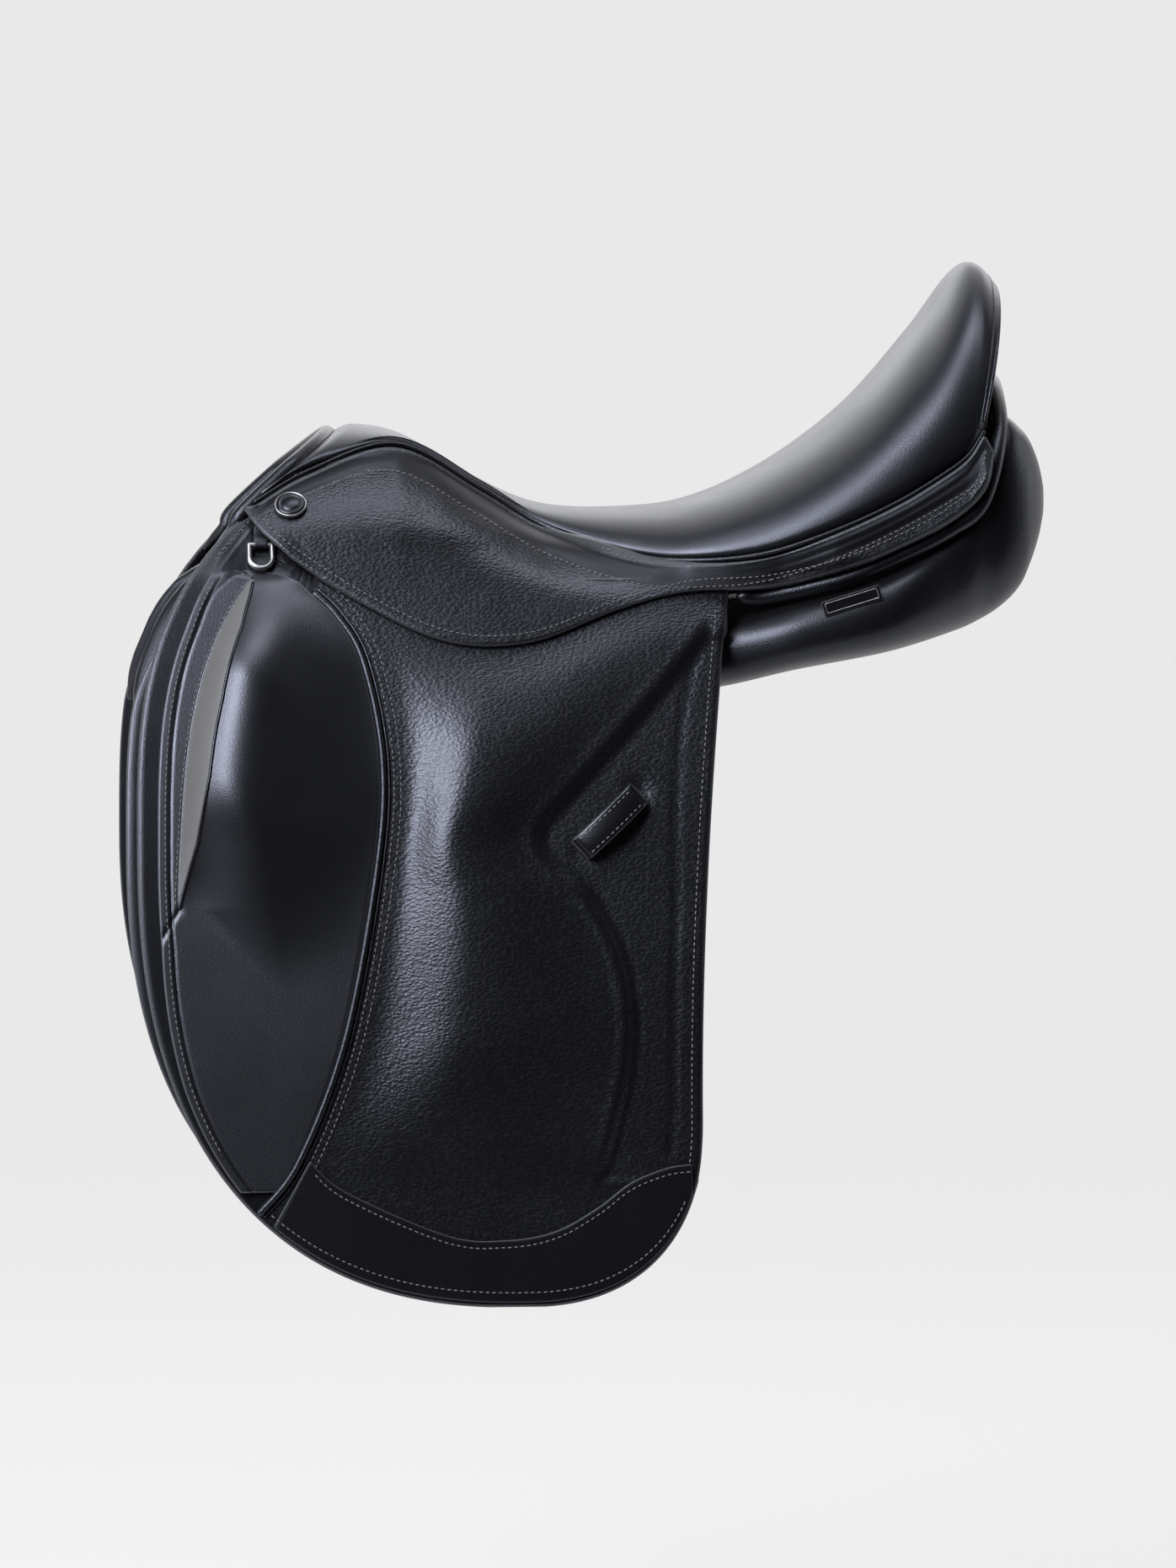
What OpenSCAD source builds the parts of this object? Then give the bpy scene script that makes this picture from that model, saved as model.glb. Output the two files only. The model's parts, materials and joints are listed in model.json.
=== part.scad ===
// Dressage saddle with external knee blocks, as separate pieces.
// Millimetres. +Z is up, -X is the horse's head, -Y is the near (left) side.
// The origin is on the centreline, where the saddle rests on the horse's back.

/* [Seat] */
// From the origin forward to the pommel, on the centreline
seat_front = 151; // [140:1:165]
// From the origin back to the cantle rim, on the centreline
seat_back = 239; // [225:1:255]
// Height of the deepest point of the seat
dip_h = 100; // [94:1:108]
// Rise of the pommel over the deepest point
pommel_rise = 48.5; // [42:0.5:56]
// Rise of the cantle over the deepest point
cantle_rise = 144; // [125:1:160]
// Width across the seat seams at the pommel corners
head_w = 196; // [184:1:206]
// Width across the seat seams at the twist
twist_w = 128; // [116:1:138]
// Width across the seat seams at the widest place
seat_w = 260; // [246:1:270]
// Width across the seat seams at the cantle corners
rim_w = 230; // [215:1:240]
// Reach of the pommel corners ahead of the pommel's middle
head_lean = 50; // [40:1:58]
// Thickness of the seat's leather and foam
seat_t = 14; // [11:0.5:17]
// Thickness of the seat webbing
webbing_t = 2; // [1.5:0.1:3]
// Thickness of the tree
tree_t = 12; // [9:0.5:14]
// Thickness of the steel head plate
plate_t = 3; // [2:0.5:4]

/* [Skirts] */
// Thickness of the skirt leather
skirt_t = 4; // [3:0.25:5]
// Depth of the skirt at its deepest, under the seat seam
skirt_depth = 92; // [80:1:100]
// How far the skirt swells outwards over the stirrup bar
skirt_bulge = 0.9; // [0.75:0.05:1.1]
// Diameter of the piping in the seat seams
welt_d = 4; // [3:0.25:5]
// Diameter of the round nail head on the skirt
nail_d = 19; // [14:0.5:22]

/* [Flaps] */
// Thickness of the flap leather
flap_t = 4; // [3:0.25:5]
// Width across the two flaps at their fold line
flap_span = 244; // [238:1:252]
// Height of the line where the flaps and skirts fold
fold_h = 58; // [54:0.5:60]
// Drop from the fold line to the lowest point of the flap
flap_drop = 409; // [380:1:430]
// From the origin forward to the foremost point of the flap
flap_front = 269; // [255:1:280]
// From the origin back to the flap's straight rear edge
flap_rear = 48; // [40:1:54]
// Outward flare of the flap from the fold to far below it
flare = 92; // [80:1:105]
// Drop over which most of the flare happens
flare_drop = 190; // [165:1:220]
// Thickness of the under flap
under_t = 3; // [2:0.25:4]
// How far the under flap shows in front of the flap
under_reach = 6.5; // [4:0.5:9]
// Thickness of the sewn-on wear patch along the bottom
patch_t = 1.5; // [1:0.1:2]
// Diameter of the piping behind the knee block
piping_d = 4; // [3:0.25:5]

/* [Knee blocks] */
// Height of the knee block over the flap
block_h = 25; // [18:0.5:30]
// Length of the knee block, down the flap
block_len = 184; // [160:1:200]
// Thickness of the smooth leather over the block
cover_t = 2; // [1.5:0.1:3]

/* [Panels] */
// Width of the gullet between the panels
gullet_w = 64; // [56:1:74]
// Reach of the panels behind the origin
panel_back = 259; // [250:1:268]
// Half width of a panel at its widest
panel_w = 56; // [48:0.5:60]
// Half height of a panel's cushion under the seat
panel_h = 32; // [26:0.5:36]
// Diameter of the roll along the top of the panel
roll_d = 9; // [7:0.5:10]
// Thickness of the gullet lining
lining_t = 2; // [1.5:0.1:3]

/* [Hardware] */
// Wire diameter of the front dee ring
dee_wire = 3.2; // [2.6:0.1:3.6]
// Inside width of the dee ring
dee_w = 10; // [9:0.5:12]
// Drop of the dee ring under its bar
dee_drop = 15; // [13:0.5:16]
// Diameter of the stirrup bar
bar_d = 9; // [8:0.25:10]
// Length of the stirrup bar
bar_len = 62; // [56:1:68]
// Gap behind the stirrup bar for the stirrup leather
bar_gap = 7; // [5:0.25:8]
// Diameter of the latch pin
latch_pin_d = 3; // [2:0.25:4]

/* [Girth straps] */
// Width of a girth strap
strap_w = 26; // [22:0.5:30]
// Thickness of a girth strap
strap_t = 4; // [3:0.25:5]
// Distance from the strap's rivet down to its tip
strap_len = 335; // [280:1:350]
// Distance between the two straps of a side
strap_pitch = 84; // [76:1:92]
// Diameter of the punched buckle holes
hole_d = 5; // [4:0.25:6]
// Distance between the buckle holes
hole_pitch = 25; // [22:0.5:28]
// Number of buckle holes in a strap
hole_count = 8; // [5:1:9]
// Diameter of the rivets that carry the straps
rivet_d = 6; // [5:0.25:7]

/* [Keeper] */
// Length of the stirrup leather keeper
keeper_len = 46; // [40:1:54]
// Width of the keeper
keeper_w = 13; // [10:0.5:16]
// Clear height under the keeper
keeper_gap = 7; // [6.5:0.25:9]

/* [Fits] */
// Gap between pieces that lie on each other
gap = 0.3; // [0.25:0.05:0.5]
// Play of a girth strap between flap and under flap, on each side
strap_play = 1.6; // [1.4:0.1:2.5]
// Radial clearance of a pin in its hole
pin_play = 0.1; // [0.05:0.01:0.2]

/* [Hidden] */
$fn = 32;

leather = [0.09, 0.09, 0.10];
smooth_leather = [0.07, 0.07, 0.08];
steel = [0.62, 0.62, 0.64];
cloth = [0.75, 0.72, 0.64];
beech = [0.68, 0.55, 0.38];

// Curves

function mix(a, b, t) = a + (b - a) * t;
function clamp(v, low, high) = min(max(v, low), high);
function ease(t) = let(c = clamp(t, 0, 1)) c * c * (3 - 2 * c);
function steps(n) = [for (i = [0 : n]) i / n];

// One point of a smooth curve through the points p, a share t past point i
function spline_at(p, i, t) =
  let(last = len(p) - 1, a = p[max(i - 1, 0)], b = p[i], c = p[min(i + 1, last)], d = p[min(i + 2, last)])
  (2 * b + (c - a) * t + (2 * a - 5 * b + 4 * c - d) * t * t + (3 * b - a - 3 * c + d) * t * t * t) / 2;

// A smooth curve through the points p, with k steps between neighbours
function smooth(p, k) = concat(
  [for (i = [0 : len(p) - 2], j = [0 : k - 1]) spline_at(p, i, j / k)],
  [p[len(p) - 1]]);

// Solids

// Thick sheet between two grids of points that lie over each other
module slab(a, b) {
  n = len(a);
  m = len(a[0]);
  i0 = floor(n / 2) - 1;
  j0 = floor(m / 2) - 1;
  normal = cross(a[i0 + 1][j0] - a[i0][j0], a[i0][j0 + 1] - a[i0][j0]);
  turned = normal * (a[i0][j0] - b[i0][j0]) > 0;
  function at(k, i, j) = k * n * m + i * m + j;
  function quad(p, q, r, s) = [[p, q, r], [p, r, s]];
  // The cells of the two sheets, from the middle one on
  cells = [for (k = [0 : n - 2], l = [0 : m - 2]) [(k + i0) % (n - 1), (l + j0) % (m - 1)]];
  faces = [
    for (c = cells)
      let(i = c[0], j = c[1])
      each quad(at(0, i, j), at(0, i + 1, j), at(0, i + 1, j + 1), at(0, i, j + 1)),
    for (c = cells)
      let(i = c[0], j = c[1])
      each quad(at(1, i, j), at(1, i, j + 1), at(1, i + 1, j + 1), at(1, i + 1, j)),
    for (i = [0 : n - 2]) each quad(at(0, i, 0), at(1, i, 0), at(1, i + 1, 0), at(0, i + 1, 0)),
    for (i = [0 : n - 2])
      each quad(at(0, i + 1, m - 1), at(1, i + 1, m - 1), at(1, i, m - 1), at(0, i, m - 1)),
    for (j = [0 : m - 2]) each quad(at(0, 0, j + 1), at(1, 0, j + 1), at(1, 0, j), at(0, 0, j)),
    for (j = [0 : m - 2])
      each quad(at(0, n - 1, j), at(1, n - 1, j), at(1, n - 1, j + 1), at(0, n - 1, j + 1))
  ];
  polyhedron(
    points = concat([for (r = a) each r], [for (r = b) each r]),
    faces = turned ? [for (f = faces) [f[2], f[1], f[0]]] : faces);
}

// Upward normal of a grid of points at one of them
function grid_normal(g, i, j) =
  let(across = g[min(i + 1, len(g) - 1)][j] - g[max(i - 1, 0)][j])
  let(along = g[i][min(j + 1, len(g[0]) - 1)] - g[i][max(j - 1, 0)])
  let(n = cross(across, along)) n / norm(n);

// Solid from closed rings of points that follow each other
module loft(rings) {
  n = len(rings);
  m = len(rings[0]);
  function at(i, j) = i * m + j % m;
  polyhedron(
    points = [for (r = rings) each r],
    faces = [
      for (i = [0 : n - 2], j = [0 : m - 1]) each [
        [at(i, j), at(i + 1, j + 1), at(i, j + 1)],
        [at(i, j), at(i + 1, j), at(i + 1, j + 1)]],
      [for (j = [0 : m - 1]) at(0, j)],
      [for (j = [m - 1 : -1 : 0]) at(n - 1, j)]
    ]);
}

function unit(v) = v / norm(v);

// Round tube along a path. Its frame turns about the reference direction.
module tube(path, r, ref = [0, 1, 0], sides = 8) {
  last = len(path) - 1;
  loft([for (i = [0 : last])
    let(
      ahead = unit(path[min(i + 1, last)] - path[max(i - 1, 0)]),
      across = unit(cross(ahead, ref)),
      over = cross(across, ahead))
    [for (j = [0 : sides - 1]) let(a = -360 * j / sides) path[i] + r * (cos(a) * across + sin(a) * over)]]);
}

// The pieces are drawn on the right (+Y) side, and mirrored for the left
module left() { mirror([0, 1, 0]) children(); }

// The stations of the seat and skirt, from the pommel to the cantle.
// Each has the share of the seat's length, the height over the dip, the lean of the seam, the seam's half
// width and its drop under the centreline, then the lean and the share of depth of the skirt's edge.

seam_drop = 122;
stations = [
  [0.00, pommel_rise - 3.5, -head_lean, head_w / 2, 0.3361 * seam_drop, -5, 0.08],
  [0.03, pommel_rise, -0.6 * head_lean, mix(head_w, twist_w, 0.42) / 2, 0.2172 * seam_drop, -20, 0.48],
  [0.10, pommel_rise - 6, -7, mix(head_w, twist_w, 0.94) / 2, 0.0410 * seam_drop, -21, 1.00],
  [0.21, 0.36 * pommel_rise, -1, twist_w / 2, 0.0410 * seam_drop, -22, 0.96],
  [0.31, 2, -2, mix(twist_w, seat_w, 0.10) / 2, 0.0984 * seam_drop, -13, 0.72],
  [0.43, 0, -3, mix(twist_w, seat_w, 0.50) / 2, 0.2131 * seam_drop, -9, 0.35],
  [0.54, 0.043 * cantle_rise, -10, mix(twist_w, seat_w, 0.79) / 2, 0.2951 * seam_drop, -2, 0.19],
  [0.66, 0.195 * cantle_rise, -16, mix(twist_w, seat_w, 0.94) / 2, 0.4426 * seam_drop, 2, 0.20],
  [0.78, 0.44 * cantle_rise, -22, seat_w / 2, 0.6230 * seam_drop, 3, 0.24],
  [0.88, 0.75 * cantle_rise, -26, mix(seat_w, rim_w, 0.10) / 2, 0.8607 * seam_drop, 2, 0.26],
  [0.94, 0.97 * cantle_rise, -24, mix(seat_w, rim_w, 0.35) / 2, 1.0000 * seam_drop, 5, 0.26],
  [0.972, cantle_rise, -19, mix(seat_w, rim_w, 0.65) / 2, 0.9344 * seam_drop, 6, 0.22],
  [1.00, cantle_rise - 11, -20, rim_w / 2, 0.7295 * seam_drop, 4, 0.14]
];
rows = smooth(stations, 2);
last_row = len(rows) - 1;

function centre_x(r) = mix(-seat_front, seat_back, r[0]);
function centre_z(r) = dip_h + r[1];
function seam(r) = [centre_x(r) + r[2], r[3], centre_z(r) - r[4]];

// A point of the seat's arch: u runs from seam (-1) over the centre (0) to seam (1), depth is under the top
function seat_point(r, u, depth = 0) =
  let(a = 90 * u * (1 - 0.007 * depth), high = cos(a), s = seam(r))
  [mix(s[0], centre_x(r), high), s[1] * sin(a), mix(s[2], centre_z(r), high) - depth];

function seat_grid(part, us, depth) = [for (r = part) [for (u = us) seat_point(r, u, depth)]];
function part_rows(from, to) = [for (i = [from : to]) rows[i]];

// Layers under the seat keep clear of each other's flats
layer_gap = 0.8;
// Share of the seat's depth that is left where its rim stands upright, and at its front and rear edges
seat_wall = 0.25;
seat_thin = 0.4;
// The head's front corners are drawn in, as the seam leaves the arch there
function seat_reach(share) = mix(0.8, 1, ease(share / 0.1));
function seat_depth(share) =
  seat_t * mix(seat_thin, 1, ease(share / 0.1)) * mix(1, seat_thin, ease((share - 0.7) / 0.24));
webbing_depth = seat_t + layer_gap;
tree_depth = webbing_depth + webbing_t + layer_gap;
plate_depth = tree_depth + tree_t + layer_gap;

// The side of the saddle: skirt over flap over strap over under flap over panel

flap_y = flap_span / 2;
fold_y = flap_y + gap + skirt_t;
welt_r = welt_d / 2;
welt_out = [0, welt_r + 8 * gap, -0.3 * welt_d];
skirt_out = [0, skirt_t + 8 * gap, -welt_d - 3 * gap];
seam_widths = [for (r = rows) let(s = seam(r) + skirt_out) [s[0], s[1]]];
seam_heights = [for (r = rows) let(s = seam(r) + skirt_out) [s[0], s[2]]];
rear_swell = 8;
rear_swell_from = 100;

// Outer face of the flap below the fold
function flank(z) = flap_y + flare * (1 - exp(-max(fold_h - z, 0) / flare_drop));

// Outer face of the skirt
function skirt_y(x, z) =
  let(
    top_y = lookup(x, seam_widths),
    top_z = lookup(x, seam_heights),
    foot_y = fold_y + clamp((x - rear_swell_from) / 4, 0, rear_swell),
    t = clamp((top_z - z) / (top_z - fold_h), 0, 1))
  z < fold_h ? foot_y + flank(z) - flap_y : mix(top_y, foot_y, t * (1 + skirt_bulge * (1 - t)));

// Outer face of the flap's head, which lies deeper where the dee ring and the stirrup bar need room
head_room = dee_wire + 3.8;
head_gap = 1.4;
function head_y(x, z) = skirt_y(x, z) - skirt_t - gap - head_room * ease((z - fold_h) / 12);

strap_out = flap_t + strap_play;
under_out = strap_out + strap_t + strap_play;

// Outline of the flap: straight edges above, and one blended superellipse below

flap_low = fold_h - flap_drop;
flap_low_x = -54;
outline_power = 2.4;
front_turn = fold_h - 153;
rear_turn = flap_low + 106;
// How far the front edge sweeps back, and the rear edge flares, over their straight lengths
front_sweep = 23;
front_sweep_over = 140;
front_sweep_power = 3.3;
rear_flare = 20;
rear_flare_over = 290;
rear_flare_power = 1.9;
function bow(t) = pow(max(1 - pow(clamp(t, 0, 1), outline_power), 0), 1 / outline_power);
function edge_front(z, out = 0, low = flap_low) =
  z > front_turn
    ? -flap_front - out + front_sweep * pow((z - front_turn) / front_sweep_over, front_sweep_power)
    : flap_low_x - (flap_front + flap_low_x + out) * bow((front_turn - z) / (front_turn - low));
function edge_rear(z, out = 0, low = flap_low) =
  z > rear_turn
    ? flap_rear + out + rear_flare * pow((z - rear_turn) / rear_flare_over, rear_flare_power)
    : flap_low_x + (flap_rear - flap_low_x + out) * bow((rear_turn - z) / (rear_turn - low));
// Lowest point of the outline at x
function edge_low(x) =
  x < flap_low_x
    ? front_turn - (front_turn - flap_low) * bow((flap_low_x - x) / (flap_front + flap_low_x))
    : rear_turn - (rear_turn - flap_low) * bow((x - flap_low_x) / (flap_rear - flap_low_x));

// Heights of a sheet's rows, closer together towards the rounded bottom
function heights(top, low, n) = [for (t = steps(n)) mix(top, low, sin(90 * t))];
tip = 1.2;

// A sheet of the flap's outline, between two depths under the flap's outer face
module flap_sheet(top, low, depth, thick, out_front, out_rear, cols = 12, n = 18) {
  zs = heights(top, low + tip, n);
  function sheet(d) = [for (z = zs) [for (u = steps(cols))
    [mix(edge_front(z, out_front, low), edge_rear(z, out_rear, low), u), flank(z) - d, z]]];
  slab(sheet(depth), sheet(depth + thick));
}

// Seat and tree

module seat() {
  us = [for (i = [-9 : 9]) i / 9];
  top = [for (r = rows) [for (u = us) seat_point(r, u * seat_reach(r[0]))]];
  under = [for (i = [0 : last_row]) [for (j = [0 : len(us) - 1])
    let(n = grid_normal(top, i, j)) top[i][j] - n * seat_depth(rows[i][0]) * max(n[2], seat_wall)]];
  color(smooth_leather) slab(top, under);
}

module seat_webbing() {
  strips = [[-0.42, -0.12], [0.12, 0.42]];
  part = part_rows(5, last_row - 3);
  color(cloth) for (s = strips) {
    us = [for (t = steps(4)) mix(s[0], s[1], t)];
    slab(seat_grid(part, us, webbing_depth), seat_grid(part, us, webbing_depth + webbing_t));
  }
}

tree_u = 0.84;
tree_rows = part_rows(1, last_row - 2);
module tree() {
  us = [for (t = steps(10)) mix(-tree_u, tree_u, t)];
  color(beech) difference() {
    slab(seat_grid(tree_rows, us, tree_depth), seat_grid(tree_rows, us, tree_depth + tree_t));
    // The opening between the rails, where the webbing is stretched
    linear_extrude(2 * (dip_h + cantle_rise)) hull() {
      translate([-seat_front / 2, 0]) circle(r = twist_w / 5);
      translate([seat_back / 3, 0]) circle(r = seat_w / 5);
    }
  }
}

head_rows = part_rows(1, 4);
module head_plate() {
  us = [for (t = steps(10)) mix(-tree_u, tree_u, t)];
  color(steel) slab(seat_grid(head_rows, us, plate_depth), seat_grid(head_rows, us, plate_depth + plate_t));
}

tree_rivet_d = 6;
module tree_rivets() {
  head = 1.5;
  deep = tree_t + layer_gap + plate_t;
  color(steel) for (u = [-0.62, -0.3, 0.3, 0.62])
    let(p = seat_point(head_rows[2], u / (1 - 0.007 * plate_depth), plate_depth + plate_t))
    translate(p - [0, 0, head]) cylinder(d = tree_rivet_d, h = deep);
}

module tree_point() {
  xs = [for (t = steps(8)) mix(-seat_front - 50, -seat_front / 2 + 8, t)];
  thick = 16;
  function top(x) = min(fold_h + 50, lookup(x, seam_heights) - 20);
  bar_pocket = [bar_len + 14, 60, bar_d + 13];
  function face(d) = [for (x = xs) [for (t = steps(5))
    let(z = mix(fold_h + 2, top(x), t))
    [x, head_y(x, z) - flap_t - head_gap - d, z]]];
  color(beech) difference() {
    slab(face(0), face(thick));
    translate([bar_x - bar_len / 2 - 7, plate_y, bar_z - bar_pocket[2] / 2]) cube(bar_pocket);
  }
}

// The stirrup bar: a plate on the tree point, a neck at the front, and a bar that is open at the back

bar_x = -seat_front + 27;
bar_z = fold_h + 11;
bar_y = skirt_y(bar_x, bar_z + bar_d / 2) - skirt_t - gap - bar_d / 2;
bar_plate_t = 2.5;
plate_y = bar_y - bar_d / 2 - bar_gap - bar_plate_t - gap;
latch_len = 8.5;
latch_w = 2.2;
latch_h = 5.6;
latch_x = bar_x + bar_len / 2 - 5;

module stirrup_bar() {
  plate_h = bar_d + 8;
  neck = 8;
  color(steel) difference() {
    union() {
      translate([bar_x - bar_len / 2, plate_y + gap, bar_z - plate_h / 2])
        cube([bar_len + 4, bar_plate_t, plate_h]);
      translate([bar_x - bar_len / 2, plate_y + gap, bar_z - bar_d / 2])
        cube([neck, bar_y - plate_y - gap, bar_d]);
      translate([bar_x - bar_len / 2, bar_y, bar_z]) rotate([0, 90, 0]) cylinder(d = bar_d, h = bar_len);
    }
    // The fork that holds the latch
    translate([latch_x - latch_pin_d, bar_y - latch_w / 2 - gap, bar_z - bar_d])
      cube([latch_len, latch_w + 2 * gap, 2 * bar_d]);
    translate([latch_x, bar_y - bar_d, bar_z]) rotate([-90, 0, 0]) cylinder(d = latch_pin_d, h = 2 * bar_d);
    for (x = [bar_x + 4, bar_x + bar_len / 2 - 3]) translate([x, plate_y - 1, bar_z])
      rotate([-90, 0, 0]) cylinder(d = 4, h = bar_plate_t + bar_gap / 2);
  }
}

module bar_latch() {
  pin_len = 0.8 * bar_d;
  color(steel) {
    translate([latch_x, bar_y - latch_w / 2, bar_z]) rotate([-90, 0, 0]) cylinder(d = latch_h, h = latch_w);
    translate([latch_x, bar_y - latch_w / 2, bar_z - latch_h / 2]) cube([latch_len, latch_w, latch_h]);
    translate([latch_x, bar_y - pin_len / 2, bar_z]) rotate([-90, 0, 0])
      cylinder(d = latch_pin_d - 2 * pin_play, h = pin_len);
  }
}

// Trim of the seat

module seat_welt() { color(leather) tube([for (r = rows) seam(r) + welt_out], welt_r); }

rim = rows[last_row];
rim_welt_r = 0.6 * welt_r;
function rim_path(back, depth) =
  [for (t = steps(20)) seat_point(rim, mix(-0.96, 0.96, t), depth) + [back, 0, 0]];
module cantle_welt() { color(leather) tube(rim_path(rim_welt_r + gap, 1), rim_welt_r, [1, 0, 0]); }

// The leather behind the cantle is tucked under the rim
facing_t = 2;
facing_in = facing_t + gap;
facing_depth = 5;
facing_u = 0.7;
facing_drop = 0.5;
facing_slant = 6;
module cantle_facing() {
  function face(back) = [for (t = steps(4)) [for (u = steps(14))
    let(p = seat_point(rim, mix(-facing_u, facing_u, u), facing_depth), s = seam(rim))
    [p[0] + back - facing_slant * t, p[1], mix(p[2], min(p[2], mix(s[2], p[2], 1 - facing_drop)), t)]]];
  color(leather) slab(face(-facing_in), face(-facing_in + facing_t));
}

pommel_roll_r = 5;
module pommel_roll() {
  inset = 1.5;
  // The feet lie behind the front corners of the flap heads
  function foot(z) =
    let(x = edge_front(z) + inset) [x, head_y(x, z) - flap_t - 2 * gap - pommel_roll_r, z];
  corner = seam(rows[0]);
  function off(u) = (pommel_roll_r + 1.4 + u * u) * unit([-1, -1.6 * u * u, -0.5]);
  half = concat(
    [for (z = [fold_h + 14, fold_h + 26]) foot(z)],
    [corner + [-13, -3, -8]],
    [for (u = [0.72, 0.54, 0.38, 0.22, 0.1, 0]) seat_point(rows[0], u) + off(u)]);
  n = len(half);
  path = concat(half, [for (i = [n - 2 : -1 : 0]) [half[i][0], -half[i][1], half[i][2]]]);
  color(leather) tube(smooth(path, 2), pommel_roll_r, [1, 0, 0]);
}

// Skirts: the upper part is sewn into the seat seam, and the lower part folds up over the fold line

skirt_rows = smooth(stations, 3);
function skirt_edge(r) = seam(r) + [r[5], 0, -skirt_depth * r[6]];
// Point of the skirt's outer face at height z on the line from seam to edge
function skirt_point(r, z, depth) =
  let(a = seam(r) + skirt_out, b = skirt_edge(r), x = mix(a[0], b[0], (a[2] - z) / (a[2] - b[2])))
  [x, skirt_y(x, z) - depth, z];
function skirt_high(r) = (seam(r) + skirt_out)[2];

module skirt_upper() {
  n = 5;
  function face(d) = [for (r = skirt_rows) [for (t = steps(n))
    skirt_point(r, mix(skirt_high(r), max(skirt_edge(r)[2], fold_h + gap), t), d)]];
  color(leather) slab(face(0), face(skirt_t));
}

// The folding edge is bevelled, so that it turns clear of the flap under it
fold_bevel = 0.6;
module skirt_lower() {
  n = 4;
  part = [for (r = skirt_rows) if (skirt_edge(r)[2] < fold_h - 1) r];
  function face(d) = [for (r = part) [for (t = steps(n))
    let(low = skirt_edge(r)[2])
    skirt_point(r, mix(max(fold_h - fold_bevel * d, low + 0.2), low, t), d)]];
  color(leather) slab(face(0), face(skirt_t));
}

nail_x = -seat_front - 30;
nail_z = fold_h + 42;
module nail() {
  y = skirt_y(nail_x, nail_z);
  tilt = atan2(skirt_y(nail_x, nail_z - nail_d / 2) - skirt_y(nail_x, nail_z + nail_d / 2), nail_d);
  turn = atan2(skirt_y(nail_x + nail_d / 2, nail_z) - skirt_y(nail_x - nail_d / 2, nail_z), nail_d);
  head = 2.6;
  color(steel) translate([nail_x, y, nail_z]) rotate([-90 + tilt, 0, turn]) {
    translate([0, 0, 1]) cylinder(d = nail_d, h = head);
    translate([0, 0, -skirt_t]) cylinder(d = 4, h = skirt_t + 1);
  }
}

// Flaps

head_top = 38;
bar_room = 7;
module flap_head() {
  cols = 16;
  n = 4;
  rear = edge_rear(fold_h);
  function top(x) = max(fold_h + 2, min(fold_h + head_top, lookup(x, seam_heights) - 16));
  function face(d) = [for (u = steps(cols)) [for (t = steps(n))
    let(
      z0 = mix(fold_h + gap, top(mix(edge_front(fold_h + head_top), rear, u)), t),
      x = mix(edge_front(z0), rear, u))
    [x, head_y(x, z0) - d, z0]]];
  color(leather) difference() {
    slab(face(0), face(flap_t));
    // The cut-out round the stirrup bar
    translate([bar_x - bar_len / 2 - bar_room, 0, fold_h - 1])
      cube([bar_len + 2 * bar_room, 2 * flap_y, bar_z - fold_h + bar_d / 2 + bar_room]);
  }
}

module flap() { color(leather) flap_sheet(fold_h - gap, flap_low, 0, flap_t, 0, 0); }

module under_flap() {
  notch_from = strap_x - 34;
  notch_to = flap_rear + 40;
  color(leather) difference() {
    flap_sheet(fold_h + 5, flap_low + 12, under_out, under_t, under_reach, -10, 10, 16);
    // Room for the webs that carry the girth straps
    translate([notch_from, 0, strap_z - 14]) cube([notch_to - notch_from, flap_y + flare, fold_h]);
    // Room for the tree point above the fold
    translate([-seat_front - 56, 0, fold_h - 1]) cube([flap_front, flap_y + flare, fold_h]);
  }
}

// The knee block swells from a stitched foot to a crest near its front, and runs out behind

block_top = fold_h - 1.5;
block_low = block_top - block_len;
function block_foot(z) = edge_front(z) + mix(20.5, 33, clamp((z - block_low) / block_len, 0, 1));
// The line of piping behind the block, as a curve down the flap
piping_reach = 107;
piping_near = 34;
piping_x0 = edge_front(fold_h);
piping_foot = 0.3364 * piping_reach;
piping_shares = [
  [0.5794, 0.03178],
  [0.8785, 0.11247],
  [1.0000, 0.24450],
  [0.9720, 0.38631],
  [0.7944, 0.62836],
  [0.5421, 0.79951]
];
piping_points = concat(
  [for (p = piping_shares) [piping_x0 + piping_reach * p[0], fold_h - flap_drop * p[1]]],
  [[piping_x0 + piping_foot, edge_low(piping_x0 + piping_foot) + 3]]);
piping_line = smooth(piping_points, 4);
piping_across = [for (i = [len(piping_line) - 1 : -1 : 0]) [piping_line[i][1], piping_line[i][0]]];
function piping_x(z) = min(lookup(z, piping_across), piping_x0 + piping_near + 2.2 * max(fold_h - z, 0));

// Height of the block over the flap at a share u across it, at height z
function block_rise(u, z) =
  let(
    along = clamp((block_top - z) / block_len, 0, 1),
    ends = pow(ease(along / 0.34), 0.7) * ease((1 - along) / 0.4),
    across = u < 0.14 ? sin(90 * u / 0.14) : pow(cos(90 * (u - 0.14) / 0.86), 1.25))
  block_h * ends * across;
block_cols = [0, 0.05, 0.1, 0.14, 0.2, 0.3, 0.42, 0.55, 0.7, 0.85, 0.97];
function block_x(u, z) = mix(block_foot(z), piping_x(z) - piping_d, u);

module knee_block() {
  zs = [for (t = steps(12)) mix(block_top - 2, block_low + 2, t)];
  foot = 1;
  function face(k) = [for (z = zs) [for (u = block_cols)
    [block_x(u, z), flank(z) + gap + k * (foot + block_rise(u, z)), z]]];
  color(cloth) slab(face(1), face(0));
}

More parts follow.
